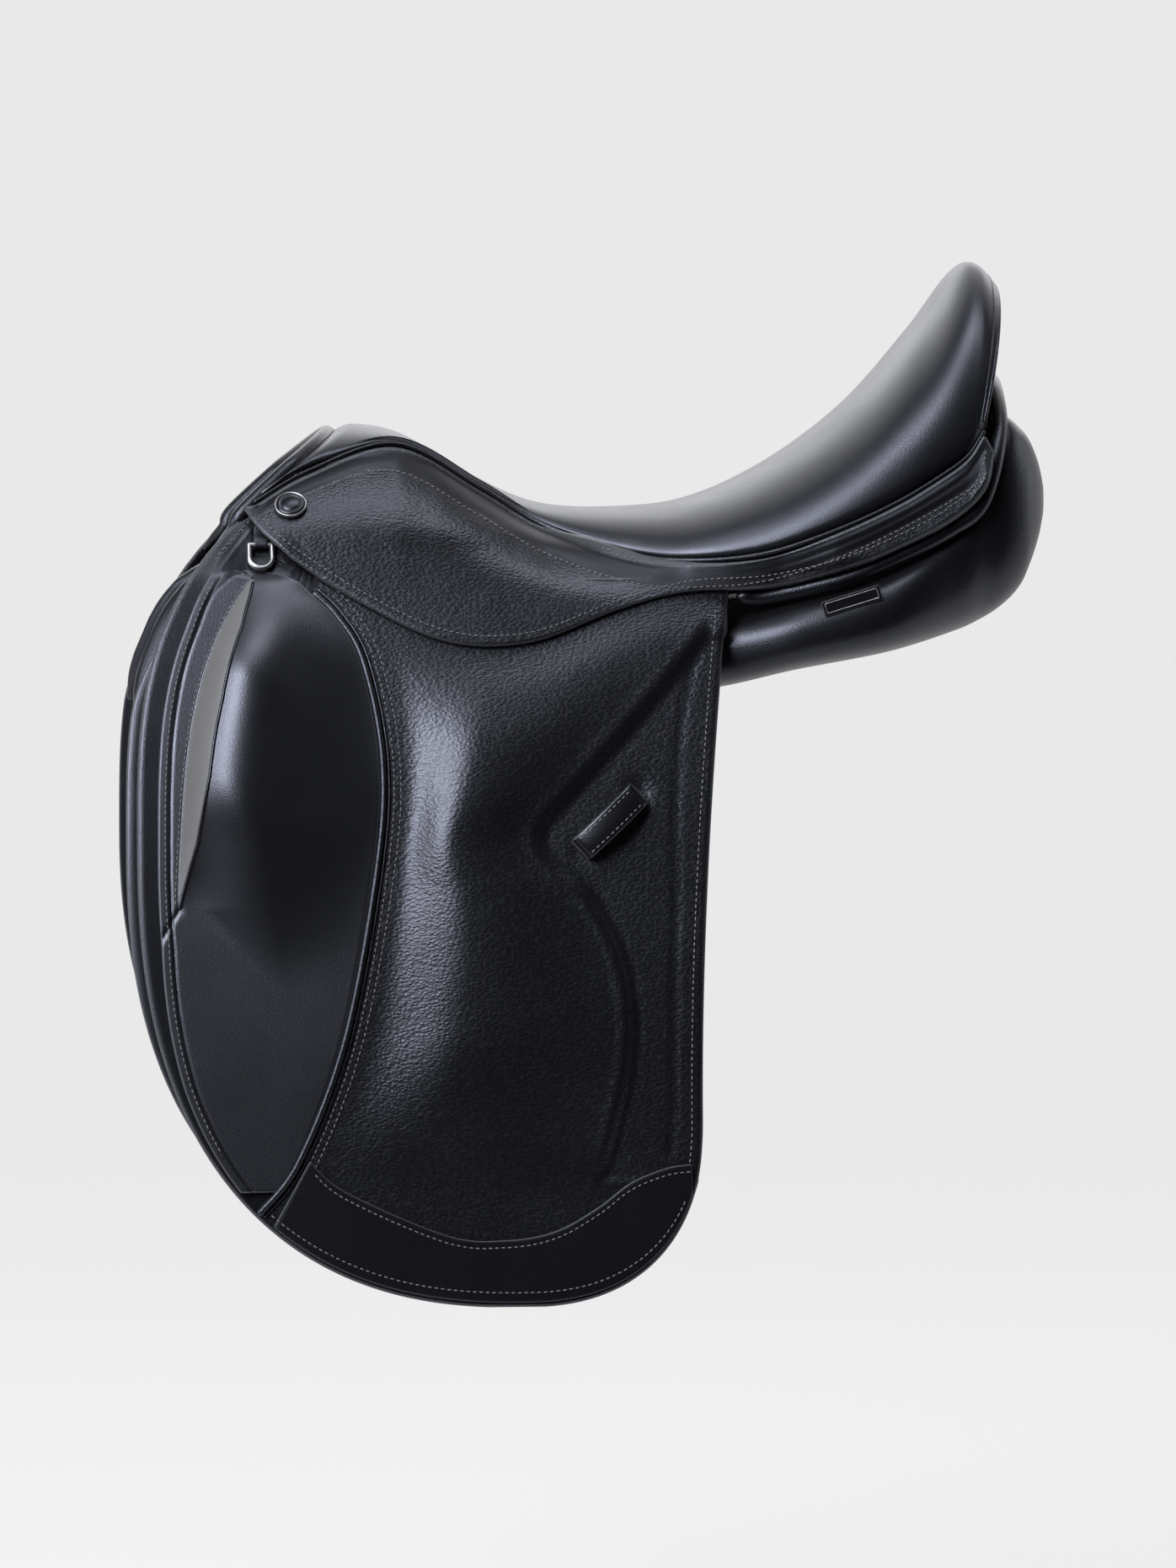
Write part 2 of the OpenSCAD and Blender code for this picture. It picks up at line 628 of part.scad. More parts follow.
cover_low = piping_points[len(piping_points) - 1][1] + 12;
module block_cover() {
  zs = concat([for (t = steps(12)) mix(block_top, block_low, t)],
    [for (t = [1 : 6]) mix(block_low, cover_low, t / 6)]);
  margin = 3;
  lift = 1 + 2 * gap;
  front_us = [0, 0.5];
  function base(x, u, z, k) = [x, flank(z) + lift + block_rise(u, z) + k * cover_t, z];
  least = 8;
  function foot(z) = min(block_foot(z), piping_x(z) - piping_d - least);
  function face(k) = [for (z = zs) concat(
    [for (f = front_us) base(mix(edge_front(z) + margin, foot(z), f), 0, z, k)],
    [for (u = block_cols) base(mix(foot(z), piping_x(z) - piping_d, u), u, z, k)])];
  color(smooth_leather) slab(face(1), face(0));
}

module flap_piping() {
  r = piping_d / 2;
  path = [for (p = piping_line) [p[0], flank(p[1]) + r + gap, p[1]]];
  color(leather) tube(path, r, [1, 0, 0]);
}

patch_h = 78;
patch_to = flap_rear - flap_low_x;
patch_points = [
  [piping_x0 + 0.598 * piping_reach, 1.0385 * patch_h],
  [piping_x0 + 0.785 * piping_reach, 0.8205 * patch_h],
  [flap_low_x - 0.4216 * patch_to, 0.5 * patch_h],
  [flap_low_x - 0.0882 * patch_to, 0.4615 * patch_h],
  [flap_low_x + 0.1863 * patch_to, 0.5256 * patch_h],
  [flap_low_x + 0.4216 * patch_to, 0.6923 * patch_h],
  [flap_low_x + 0.6078 * patch_to, 0.8718 * patch_h],
  [flap_low_x + 0.8039 * patch_to, 0.9744 * patch_h],
  [flap_low_x + 0.9412 * patch_to, patch_h]
];
module wear_patch() {
  top = smooth(patch_points, 2);
  n = 3;
  inset = 2;
  // The front end slants along the piping
  function slant(i) = 20 * pow(1 - i / (len(top) - 1), 8);
  function face(d) = [for (i = [0 : len(top) - 1]) [for (t = steps(n))
    let(
      x = top[i][0] - slant(i) * t,
      high = flap_low + top[i][1],
      low = min(edge_low(top[i][0] - slant(i)) + inset, high - 1.5),
      z = mix(high, low, t))
    [x, flank(z) + d, z]]];
  color(leather) slab(face(gap + patch_t), face(gap));
}

// The keeper is a strap that stands off the flap and slants up to the back
keeper_x = -2;
keeper_z = fold_h - 137;
keeper_slope = 43;
keeper_t = 2.5;
module keeper() {
  shares = [0, 0.06, 0.14, 0.3, 0.5, 0.7, 0.86, 0.94, 1];
  function stand(t) = keeper_gap * pow(max(sin(180 * t), 0), 0.3);
  function face(k) = [for (t = shares) [for (w = [-0.5, 0, 0.5])
    let(
      a = (t - 0.5) * keeper_len,
      b = w * keeper_w,
      x = keeper_x + a * cos(keeper_slope) - b * sin(keeper_slope),
      z = keeper_z + a * sin(keeper_slope) + b * cos(keeper_slope))
    [x, flank(z) + gap + stand(t) + k * keeper_t, z]]];
  color(leather) slab(face(1), face(0));
}

// Panels: cushions on both sides of the gullet, deep behind and thin under the flaps.
// Each station has shares of the length, the middle, half width and half height of a section, and its tilt.

panel_in = gullet_w / 2;
panel_len = flap_front + panel_back;
panel_stations = [
  [0.0265, 1.2857, 0.3448, 0.7679, 0.1875, 62],
  [0.0606, 1.2321, 0.4483, 0.8929, 0.2812, 58],
  [0.1307, 1.0893, 0.5690, 0.9643, 0.3750, 52],
  [0.2443, 0.9643, 0.5517, 0.9643, 0.4688, 42],
  [0.3769, 0.8893, 0.3621, 0.8929, 0.5312, 27],
  [0.5095, 0.8607, 0.2414, 0.8625, 0.6250, 14],
  [0.6231, 0.8500, 0.3103, 0.8429, 0.6875, 8],
  [0.7178, 0.9643, 0.4828, 0.9643, 0.6875, 4],
  [0.8220, 0.9800, 0.7300, 0.9600, 0.8200, 3],
  [0.8977, 0.8300, 1.1000, 0.8500, 1.1400, 2],
  [0.9545, 0.7600, 1.6897, 0.7400, 1.6250, 0],
  [0.9848, 0.7500, 1.8276, 0.6000, 1.3125, 0],
  [1.0000, 0.7400, 1.8103, 0.3000, 0.5312, 0]
];
// A section in millimetres: its place along the saddle, middle, half width, half height and tilt
function panel_section(p) = [
  panel_len * p[0] - flap_front, panel_in + panel_w * p[1], fold_h * p[2],
  panel_w * p[3], panel_h * p[4], p[5]];
panel_sections = [for (p = panel_stations) panel_section(p)];
// The front of the panel leans forward
panel_lean_from = 80;
panel_lean_over = 120;
function panel_ring(p) =
  let(sides = 14, lean = 0.41 * clamp((-panel_lean_from - p[0]) / panel_lean_over, 0, 1))
  [for (j = [0 : sides - 1])
    let(
      a = 360 * j / sides,
      cu = sign(cos(a)) * pow(abs(cos(a)), 0.75),
      cv = sign(sin(a)) * pow(abs(sin(a)), 0.75),
      du = p[3] * cu,
      dv = p[4] * cv,
      y = p[1] + du * cos(p[5]) + dv * sin(p[5]),
      z = p[2] - du * sin(p[5]) + dv * cos(p[5]))
    [p[0] + lean * (z - p[2]), y, z]];
module panel() {
  color(smooth_leather) loft([for (p = smooth(panel_sections, 2)) panel_ring(p)]);
}

// The roll follows the skirt's edge on each side, and runs in an arch over the back of the cantle
roll_r = roll_d / 2;
roll_top = dip_h + 76;
roll_x = seat_back - 3;
roll_row = 14;
roll_lead = 14;
roll_drop = roll_r + 3;
roll_edge = concat(
  [skirt_edge(rows[roll_row]) - [roll_lead, 0, 0]],
  [for (i = [roll_row : 2 : last_row - 2]) skirt_edge(rows[i])]);
roll_side = [for (e = roll_edge) [e[0] + 1, skirt_y(e[0], e[2]) - roll_r - 4 * gap, e[2] - roll_drop]];
roll_end = roll_side[len(roll_side) - 1];
module panel_roll() {
  back = [for (t = [1 : 3]) let(a = 30 * t)
    [mix(roll_end[0], roll_x, sin(a)), roll_end[1] * cos(a), mix(roll_end[2], roll_top, sin(a))]];
  half = concat(roll_side, back);
  n = len(half);
  path = concat(half, [for (i = [n - 2 : -1 : 0]) [half[i][0], -half[i][1], half[i][2]]]);
  color(leather) tube(smooth(path, 2), roll_r, [1, 0, -1]);
}

// The leather that closes the back between the roll and the panels
gusset_t = 3;
gusset_reach = 0.56 * roll_end[1];
gusset_low = roll_top - 24;
gusset_notch = 34;
gusset_bow = 10;
module rear_gusset() {
  cols = 16;
  n = 3;
  function top(y) = mix(roll_end[2], roll_top, sqrt(1 - pow(y / roll_end[1], 2))) - roll_r - 3 * gap;
  function foot(y) = gusset_low - gusset_notch * ease((panel_in - 4 - abs(y)) / 6);
  function face(d) = [for (u = steps(cols)) [for (t = steps(n))
    let(y = mix(-gusset_reach, gusset_reach, u), z = mix(top(y), foot(y), t))
    [roll_x - 0.4 * roll_r - gusset_bow * pow(y / roll_end[1], 2) - d, y, z]]];
  color(leather) slab(face(0), face(gusset_t));
}

module gullet_lining() {
  part = part_rows(6, last_row - 3);
  us = [for (t = steps(4)) mix(-0.9, 0.9, t)];
  depth = plate_depth + 1.1;
  lining_top = dip_h + 0.45 * cantle_rise;
  function face(d) = [for (r = part) [for (u = us)
    [centre_x(r), u * (panel_in - 2), min(centre_z(r), lining_top) - depth - d]]];
  color(leather) slab(face(0), face(lining_t));
}

label_w = 34;
label_h = 8;
label_t = 1;
label_x = 140;
label_z = 0.793 * fold_h;
module label() {
  ring = panel_ring(spline_at(panel_sections, 7, 0.55));
  y = max([for (p = ring) p[1]]) - 1.8;
  color([0.2, 0.2, 0.22]) translate([label_x, y, label_z]) rotate([0, -17, 0])
    translate([-label_w / 2, 0, -label_h / 2]) cube([label_w, label_t, label_h]);
}

// The dee ring hangs from a tab that is nailed to the tree point under the skirt's front corner

dee_x = -seat_front - 47.5;
dee_z = fold_h + 20;
dee_y = head_y(dee_x, dee_z) + 3.5;
// The ring hangs a little steeper than the flap's head falls away under it
dee_hang = 2.229;
dee_fall = head_y(dee_x, dee_z - dee_drop) - head_y(dee_x, dee_z);
dee_tilt = atan2(dee_fall, dee_drop) - dee_hang;
dee_r = dee_w / 2 + dee_wire / 2;
tab_t = 2;
tab_len = 12;
module dee_ring() {
  straight = dee_drop - dee_r;
  color(steel) translate([dee_x, dee_y, dee_z]) rotate([dee_tilt, 0, 0]) {
    translate([-dee_r, 0, 0]) rotate([0, 90, 0]) cylinder(d = dee_wire, h = 2 * dee_r);
    for (s = [-1, 1]) {
      translate([s * dee_r, 0, -straight]) cylinder(d = dee_wire, h = straight);
      translate([s * dee_r, 0, 0]) sphere(d = dee_wire);
    }
    translate([0, 0, -straight]) rotate([90, 0, 0]) rotate([0, 0, 180])
      rotate_extrude(angle = 180) translate([dee_r, 0]) circle(d = dee_wire);
  }
}

module dee_tab() {
  bore = dee_wire + 2 * pin_play;
  outer = bore + 2 * 0.8;
  w = dee_w - 3;
  color(leather) translate([dee_x - w / 2, dee_y, dee_z]) rotate([dee_tilt, 0, 0]) difference() {
    union() {
      rotate([0, 90, 0]) cylinder(d = outer, h = w);
      translate([0, -tab_t / 2, 0]) cube([w, tab_t, tab_len]);
    }
    translate([-1, 0, 0]) rotate([0, 90, 0]) cylinder(d = bore, h = w + 2);
  }
}

// Girth straps hang on rivets from a web, between the flap and the under flap

strap_x = -seat_front + 55;
strap_z = fold_h - 26;
rivet_y = flank(strap_z) - strap_out;
web_top = fold_h + 1.5;

module girth_web() {
  zs = [web_top, mix(web_top, strap_z, 0.5), strap_z, strap_z - 12];
  xs = [strap_x - 20, strap_x + strap_pitch + 20];
  function face(d) = [for (z = zs) [for (x = xs) [x, flank(z) - d, z]]];
  color(cloth) difference() {
    slab(face(under_out), face(under_out + under_t));
    for (x = [strap_x, strap_x + strap_pitch]) translate([x, rivet_y - 40, strap_z])
      rotate([-90, 0, 0]) cylinder(d = rivet_d + 2 * pin_play, h = 80);
  }
}

module strap_rivets() {
  back = under_out + under_t - strap_out + 3;
  color(steel) for (x = [strap_x, strap_x + strap_pitch])
    translate([x, rivet_y, strap_z]) rotate([-90, 0, 0]) {
    translate([0, 0, -back]) cylinder(d = rivet_d, h = back - gap);
    translate([0, 0, -back - 1]) cylinder(d = rivet_d + 4, h = 1);
  }
}

module strap(x) {
  zs = [for (t = steps(16)) mix(strap_z + 14, strap_z - strap_len, t)];
  line = concat(
    [for (z = zs) [flank(z) - strap_out, z]],
    [for (i = [len(zs) - 1 : -1 : 0]) [flank(zs[i]) - strap_out - strap_t, zs[i]]]);
  point = 16;
  through = 3 * flap_y;
  color(leather) difference() {
    intersection() {
      translate([x - strap_w / 2, 0, 0]) rotate([90, 0, 90]) linear_extrude(strap_w) polygon(line);
      translate([x, through, 0]) rotate([90, 0, 0]) linear_extrude(through) polygon([
        [-strap_w / 2, strap_z + 8], [-strap_w / 2 + 6, strap_z + 14], [strap_w / 2 - 6, strap_z + 14],
        [strap_w / 2, strap_z + 8], [strap_w / 2, strap_z - strap_len + point],
        [strap_w / 5, strap_z - strap_len], [-strap_w / 5, strap_z - strap_len],
        [-strap_w / 2, strap_z - strap_len + point]
      ]);
    }
    translate([x, 0, strap_z]) rotate([-90, 0, 0]) cylinder(d = rivet_d + 2 * pin_play, h = through);
    for (i = [1 : hole_count]) translate([x, 0, strap_z - strap_len + 10 + i * hole_pitch])
      rotate([-90, 0, 0]) cylinder(d = hole_d, h = through);
  }
}
module front_strap() { strap(strap_x); }
module rear_strap() { strap(strap_x + strap_pitch); }

tree();
head_plate();
tree_rivets();
seat_webbing();
seat();
cantle_welt();
cantle_facing();
pommel_roll();
gullet_lining();
left() tree_point();  // left_tree_point
tree_point();  // right_tree_point
left() stirrup_bar();  // left_stirrup_bar
stirrup_bar();  // right_stirrup_bar
left() bar_latch();  // left_bar_latch
bar_latch();  // right_bar_latch
left() seat_welt();  // left_seat_welt
seat_welt();  // right_seat_welt
left() skirt_upper();  // left_skirt_top
skirt_upper();  // right_skirt_top
left() skirt_lower();  // left_skirt
skirt_lower();  // right_skirt
left() nail();  // left_nail
nail();  // right_nail
left() flap_head();  // left_flap_head
flap_head();  // right_flap_head
left() flap();  // left_flap
flap();  // right_flap
left() knee_block();  // left_knee_block
knee_block();  // right_knee_block
left() block_cover();  // left_block_cover
block_cover();  // right_block_cover
left() flap_piping();  // left_flap_piping
flap_piping();  // right_flap_piping
left() wear_patch();  // left_wear_patch
wear_patch();  // right_wear_patch
left() keeper();  // left_keeper
keeper();  // right_keeper
left() under_flap();  // left_under_flap
under_flap();  // right_under_flap
left() panel();  // left_panel
panel();  // right_panel
panel_roll();
rear_gusset();
left() dee_tab();  // left_dee_tab
dee_tab();  // right_dee_tab
left() dee_ring();  // left_dee_ring
dee_ring();  // right_dee_ring
left() girth_web();  // left_girth_web
girth_web();  // right_girth_web
left() strap_rivets();  // left_strap_rivets
strap_rivets();  // right_strap_rivets
left() front_strap();  // left_front_strap
front_strap();  // right_front_strap
left() rear_strap();  // left_rear_strap
rear_strap();  // right_rear_strap
left() label();  // left_label
label();  // right_label
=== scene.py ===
"""A dressage saddle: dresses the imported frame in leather, thread, steel, wood and webbing."""

import json
import logging
import math
from dataclasses import dataclass, field
from enum import Enum
from typing import Sequence, Union

import bmesh
import bpy
import numpy as np
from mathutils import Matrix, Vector

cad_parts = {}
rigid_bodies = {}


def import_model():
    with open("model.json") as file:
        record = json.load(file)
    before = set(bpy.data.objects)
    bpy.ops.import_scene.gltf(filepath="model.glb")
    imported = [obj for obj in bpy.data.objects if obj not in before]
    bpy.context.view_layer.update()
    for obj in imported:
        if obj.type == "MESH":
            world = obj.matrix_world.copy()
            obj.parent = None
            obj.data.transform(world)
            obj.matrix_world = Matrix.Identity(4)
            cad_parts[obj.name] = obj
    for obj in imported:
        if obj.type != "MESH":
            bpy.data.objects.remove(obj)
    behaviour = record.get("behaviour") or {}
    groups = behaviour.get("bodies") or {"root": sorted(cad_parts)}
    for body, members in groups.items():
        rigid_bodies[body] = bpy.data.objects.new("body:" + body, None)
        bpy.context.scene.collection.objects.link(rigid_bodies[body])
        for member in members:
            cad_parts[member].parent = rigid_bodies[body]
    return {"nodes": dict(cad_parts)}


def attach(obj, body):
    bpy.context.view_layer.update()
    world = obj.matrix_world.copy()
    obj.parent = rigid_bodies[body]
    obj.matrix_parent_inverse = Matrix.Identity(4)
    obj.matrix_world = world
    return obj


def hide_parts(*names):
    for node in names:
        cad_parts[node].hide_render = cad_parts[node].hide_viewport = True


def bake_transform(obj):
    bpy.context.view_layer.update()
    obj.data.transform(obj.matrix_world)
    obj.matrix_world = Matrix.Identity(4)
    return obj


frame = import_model()

Array = np.ndarray
Material = bpy.types.Material
Object = bpy.types.Object
log = logging.getLogger("saddle")

MM = 0.001  # metres in a millimetre
TINY = 1e-9  # keeps divisions off zero
FLAP_LOW = -351.0  # height of the flap's lowest point
STITCH_OUT = 0.25  # how far stitches stand out of leather
EDGE_WEAR = 0.45  # wear of a sheet's edge, whose rim has 1
DOME_ANGLES = (0.0, 0.6, 1.1)  # rings of a tube's domed end
ROOT = "saddle"
GRAINED, SMOOTH = "grained_leather", "smooth_leather"


class Side(Enum):
    """The two sides of the saddle, as the sign of their Y."""

    LEFT = -1
    RIGHT = 1

    @property
    def word(self) -> str:
        """The side's word in node and body names."""
        return self.name.lower()

    def of(self, name: str) -> str:
        """The name of this side's one of a pair."""
        return f"{self.word}_{name}"


def mix(a, b, t):
    """The point a share t of the way from a to b."""
    return a + (b - a) * t


def ease(t):
    """A smooth step from 0 to 1."""
    c = np.clip(t, 0.0, 1.0)
    return c * c * (3 - 2 * c)


def bell(t):
    """A bell of height 1 round 0."""
    return np.exp(-(t**2))


def curve_at(points: Array, where: Array) -> Array:
    """Points of a smooth curve through given points.

    Args:
        points: one point or row of values per line.
        where: places along the curve, counted in points.

    Returns:
        One row for each place.
    """
    p = np.asarray(points, float)
    last = len(p) - 1
    i = np.clip(np.floor(where).astype(int), 0, last - 1)
    t = (np.asarray(where, float) - i)[:, None]
    a, b, c, d = p[np.maximum(i - 1, 0)], p[i], p[i + 1], p[np.minimum(i + 2, last)]
    return (2 * b + (c - a) * t + (2 * a - 5 * b + 4 * c - d) * t**2 + (3 * b - a - 3 * c + d) * t**3) / 2


def curve_through(points: Sequence, steps: int) -> Array:
    """A smooth curve through points, with a number of steps between neighbours."""
    return curve_at(np.asarray(points, float), np.linspace(0, len(points) - 1, (len(points) - 1) * steps + 1))


def even(path: Array, pitch: float) -> Array:
    """The path with points at an even pitch."""
    length = np.concatenate([[0], np.cumsum(np.linalg.norm(np.diff(path, axis=0), axis=1))])
    at = np.linspace(0, length[-1], max(int(length[-1] / pitch), 2))
    return np.stack([np.interp(at, length, path[:, k]) for k in range(path.shape[1])], axis=1)


def distance_to(path: Array, x: Array, z: Array) -> Array:
    """Distance in the flap's plane from points to a path of (x, z) points."""
    best = np.full(x.shape, np.inf)
    for a, b in zip(path[:-1], path[1:]):
        d = b - a
        t = np.clip(((x - a[0]) * d[0] + (z - a[1]) * d[1]) / max(float(d @ d), TINY), 0, 1)
        best = np.minimum(best, np.hypot(x - a[0] - t * d[0], z - a[1] - t * d[1]))
    return best


def inside(loop: Array, x: Array, z: Array) -> Array:
    """Whether points lie inside a closed loop of (x, z) points."""
    found = np.zeros(x.shape, bool)
    for a, b in zip(loop, np.roll(loop, -1, axis=0)):
        rise = b[1] - a[1] if abs(b[1] - a[1]) > TINY else TINY
        found ^= ((a[1] > z) != (b[1] > z)) & (x < (b[0] - a[0]) * (z - a[1]) / rise + a[0])
    return found


def unit(v: Array) -> Array:
    """Vectors scaled to length 1."""
    return v / np.maximum(np.linalg.norm(v, axis=-1, keepdims=True), TINY)


def xyz(x, y, z) -> Array:
    """Points from their coordinates, each spread over the shape of the others."""
    return np.stack(np.broadcast_arrays(x, y, z), axis=-1)


def both_sides(half: Array) -> Array:
    """A path on the right run on over the left, by way of its last point."""
    flip = np.where(np.arange(half.shape[1]) == 1, -1, 1)
    return np.vstack([half, half[-2::-1] * flip])


def turns(sides: int) -> Array:
    """Angles of a full turn in even steps."""
    return 2 * np.pi * np.arange(sides) / sides


def circle(over: Array, across: Array, sides: int) -> Array:
    """A ring of radius 1 in the plane of two unit vectors."""
    a = turns(sides)[:, None]
    return np.cos(a) * over + np.sin(a) * across


def placed(name: str, data: bpy.types.ID) -> Object:
    """A new object that shows some data, linked into the scene."""
    made = bpy.data.objects.new(name, data)
    bpy.context.scene.collection.objects.link(made)
    return made


def smoothed(mesh: bpy.types.Mesh, *materials: Material) -> bpy.types.Mesh:
    """The mesh with smooth faces and its materials."""
    mesh.polygons.foreach_set("use_smooth", np.ones(len(mesh.polygons), bool))
    for material in materials:
        mesh.materials.append(material)
    return mesh


@dataclass(frozen=True)
class SaddleShape:
    """The saddle's sizes in millimetres and the surfaces they give, drawn on the right side."""

    seat_front: float = 151
    seat_back: float = 239
    dip_h: float = 100
    pommel_rise: float = 48.5
    cantle_rise: float = 144
    head_w: float = 196
    twist_w: float = 128
    seat_w: float = 260
    rim_w: float = 230
    head_lean: float = 50
    seat_t: float = 14
    seat_in: float = 0.007
    skirt_t: float = 4
    skirt_depth: float = 92
    skirt_bulge: float = 0.9
    spread_x: float = 100
    spread: float = 8
    head_step: float = 7
    welt_r: float = 2
    flap_t: float = 4
    flap_y: float = 122
    fold_h: float = 58
    flap_front: float = 269
    flap_rear: float = 48
    flap_low: float = FLAP_LOW
    flap_low_x: float = -54
    outline_power: float = 2.4
    front_turn: float = -95
    front_run: float = 140
    front_lean: float = 23
    rear_turn: float = -245
    rear_run: float = 290
    rear_lean: float = 20
    flare: float = 92
    flare_drop: float = 190
    under_t: float = 3
    under_out: float = 11.2
    under_reach: float = 6.5
    block_top: float = 56.5
    block_len: float = 184
    block_h: float = 25
    block_peak: float = 0.14
    piping_d: float = 4
    panel_in: float = 32
    panel_back: float = 259
    panel_w: float = 56
    panel_h: float = 32
    panel_square: float = 0.75
    panel_lean: float = 0.41
    gap: float = 0.3

    @property
    def fold_y(self) -> float:
        """Distance of the fold from the middle."""
        return self.flap_y + self.gap + self.skirt_t

    def stations(self) -> Array:
        """Seat and skirt stations from the pommel to the cantle.

        Returns:
            For each its share of the length, rise, seam's shift, half width, seam's drop, edge's shift and
            share of the skirt's depth.
        """
        w = lambda a, b, t: mix(a, b, t) / 2
        p, c, h, t = self.pommel_rise, self.cantle_rise, self.head_w, self.twist_w
        s, r = self.seat_w, self.rim_w
        return np.array([
            [0.00, p - 3.5, -self.head_lean, h / 2, 41, -5, 0.08],
            [0.03, p, -0.6 * self.head_lean, w(h, t, 0.42), 26.5, -20, 0.48],
            [0.10, p - 6, -7, w(h, t, 0.94), 5, -21, 1.00],
            [0.21, 0.36 * p, -1, t / 2, 5, -22, 0.96],
            [0.31, 2, -2, w(t, s, 0.10), 12, -13, 0.72],
            [0.43, 0, -3, w(t, s, 0.50), 26, -9, 0.35],
            [0.54, 0.043 * c, -10, w(t, s, 0.79), 36, -2, 0.19],
            [0.66, 0.195 * c, -16, w(t, s, 0.94), 54, 2, 0.20],
            [0.78, 0.44 * c, -22, s / 2, 76, 3, 0.24],
            [0.88, 0.75 * c, -26, w(s, r, 0.10), 105, 2, 0.26],
            [0.94, 0.97 * c, -24, w(s, r, 0.35), 122, 5, 0.26],
            [0.972, c, -19, w(s, r, 0.65), 114, 6, 0.22],
            [1.00, c - 11, -20, r / 2, 89, 4, 0.14],
        ])

    def rows(self, steps: int) -> Array:
        """Stations with a number of steps between neighbours."""
        return curve_through(self.stations(), steps)

    def seam(self, rows: Array) -> Array:
        """The seam between seat and skirt at each row."""
        x = mix(-self.seat_front, self.seat_back, rows[:, 0]) + rows[:, 2]
        return xyz(x, rows[:, 3], self.dip_h + rows[:, 1] - rows[:, 4])

    def skirt_top(self, rows: Array) -> Array:
        """The skirt's top line, just under the seam's welt."""
        return self.seam(rows) + [0, self.skirt_t + 8 * self.gap, -2 * self.welt_r - 3 * self.gap]

    def seat_points(self, rows: Array, us: Array, depth: float = 0.0) -> Array:
        """Grid of the seat's arch: us runs from seam to seam, one set per row or one for all."""
        a = np.radians(90 * us * (1 - self.seat_in * depth)) * np.ones((len(rows), 1))
        high, seam = np.cos(a), self.seam(rows)
        x = mix(-self.seat_front, self.seat_back, rows[:, 0])[:, None]
        z = (self.dip_h + rows[:, 1])[:, None]
        return xyz(mix(seam[:, :1], x, high), seam[:, 1:2] * np.sin(a), mix(seam[:, 2:], z, high) - depth)

    def seam_at(self, x: Array, column: int) -> Array:
        """The skirt's top line at x: its Y (column 1) or Z (column 2)."""
        line = self.skirt_top(self.rows(2))
        order = np.argsort(line[:, 0])
        return np.interp(x, line[order, 0], line[order, column])

    def flank(self, z: Array) -> Array:
        """Outer face of the flap below the fold."""
        return self.flap_y + self.flare * (1 - np.exp(-np.maximum(self.fold_h - z, 0) / self.flare_drop))

    def skirt_y(self, x: Array, z: Array) -> Array:
        """Outer face of the skirt."""
        top_y, top_z = self.seam_at(x, 1), self.seam_at(x, 2)
        foot = self.fold_y + np.clip((x - self.spread_x) / 4, 0, self.spread)
        t = np.clip((top_z - z) / np.maximum(top_z - self.fold_h, 1e-6), 0, 1)
        above = mix(top_y, foot, t * (1 + self.skirt_bulge * (1 - t)))
        return np.where(z < self.fold_h, foot + self.flank(z) - self.flap_y, above)

    def head_y(self, x: Array, z: Array) -> Array:
        """Outer face of the flap's head above the fold."""
        step = self.head_step * ease((z - self.fold_h) / 12)
        return self.skirt_y(x, z) - self.skirt_t - self.gap - step

    def skirt_edge(self, rows: Array) -> Array:
        """The skirt's lower edge at each row, without its width."""
        edge = self.seam(rows)
        edge[:, 0] += rows[:, 5]
        edge[:, 2] -= self.skirt_depth * rows[:, 6]
        return edge

    def skirt_low(self, x: Array) -> Array:
        """Height of the skirt's lower edge at x."""
        edge = self.skirt_edge(self.rows(6))
        order = np.argsort(edge[:, 0])
        return np.interp(x, edge[order, 0], edge[order, 2])

    def bow(self, t: Array) -> Array:
        """Quarter of the rounded outline."""
        p = self.outline_power
        return np.maximum(1 - np.clip(t, 0, 1) ** p, 0) ** (1 / p)

    def edge_front(self, z: Array, out: float = 0.0, low: float = FLAP_LOW) -> Array:
        """The flap's front edge at a height."""
        sweep = np.maximum(z - self.front_turn, 0) / self.front_run
        over = -self.flap_front - out + self.front_lean * sweep**3.3
        reach = self.flap_front + self.flap_low_x + out
        under = self.flap_low_x - reach * self.bow((self.front_turn - z) / (self.front_turn - low))
        return np.where(z > self.front_turn, over, under)

    def edge_rear(self, z: Array, out: float = 0.0, low: float = FLAP_LOW) -> Array:
        """The flap's rear edge at a height."""
        sweep = np.maximum(z - self.rear_turn, 0) / self.rear_run
        over = self.flap_rear + out + self.rear_lean * sweep**1.9
        reach = self.flap_rear - self.flap_low_x + out
        under = self.flap_low_x + reach * self.bow((self.rear_turn - z) / (self.rear_turn - low))
        return np.where(z > self.rear_turn, over, under)

    def edge_low(self, x: Array) -> Array:
        """The flap's lower edge at x."""
        front = self.front_turn - (self.front_turn - self.flap_low) * self.bow(
            (self.flap_low_x - x) / (self.flap_front + self.flap_low_x))
        rear = self.rear_turn - (self.rear_turn - self.flap_low) * self.bow(
            (x - self.flap_low_x) / (self.flap_rear - self.flap_low_x))
        return np.where(x < self.flap_low_x, front, rear)

    @property
    def ear(self) -> float:
        """The flap's front edge at the fold, from which the block's lines are measured."""
        return float(self.edge_front(self.fold_h))

    def piping_line(self) -> Array:
        """The (x, z) line of piping behind the knee block."""
        f, e = self.fold_h, self.ear
        points = [[e + 70, f - 8], [e + 83, f - 21], [e + 97, f - 46], [e + 107, f - 100],
                  [e + 104, f - 158], [e + 85, f - 257], [e + 58, f - 327],
                  [e + 36, float(self.edge_low(e + 36)) + 3]]
        return curve_through(points, 8)

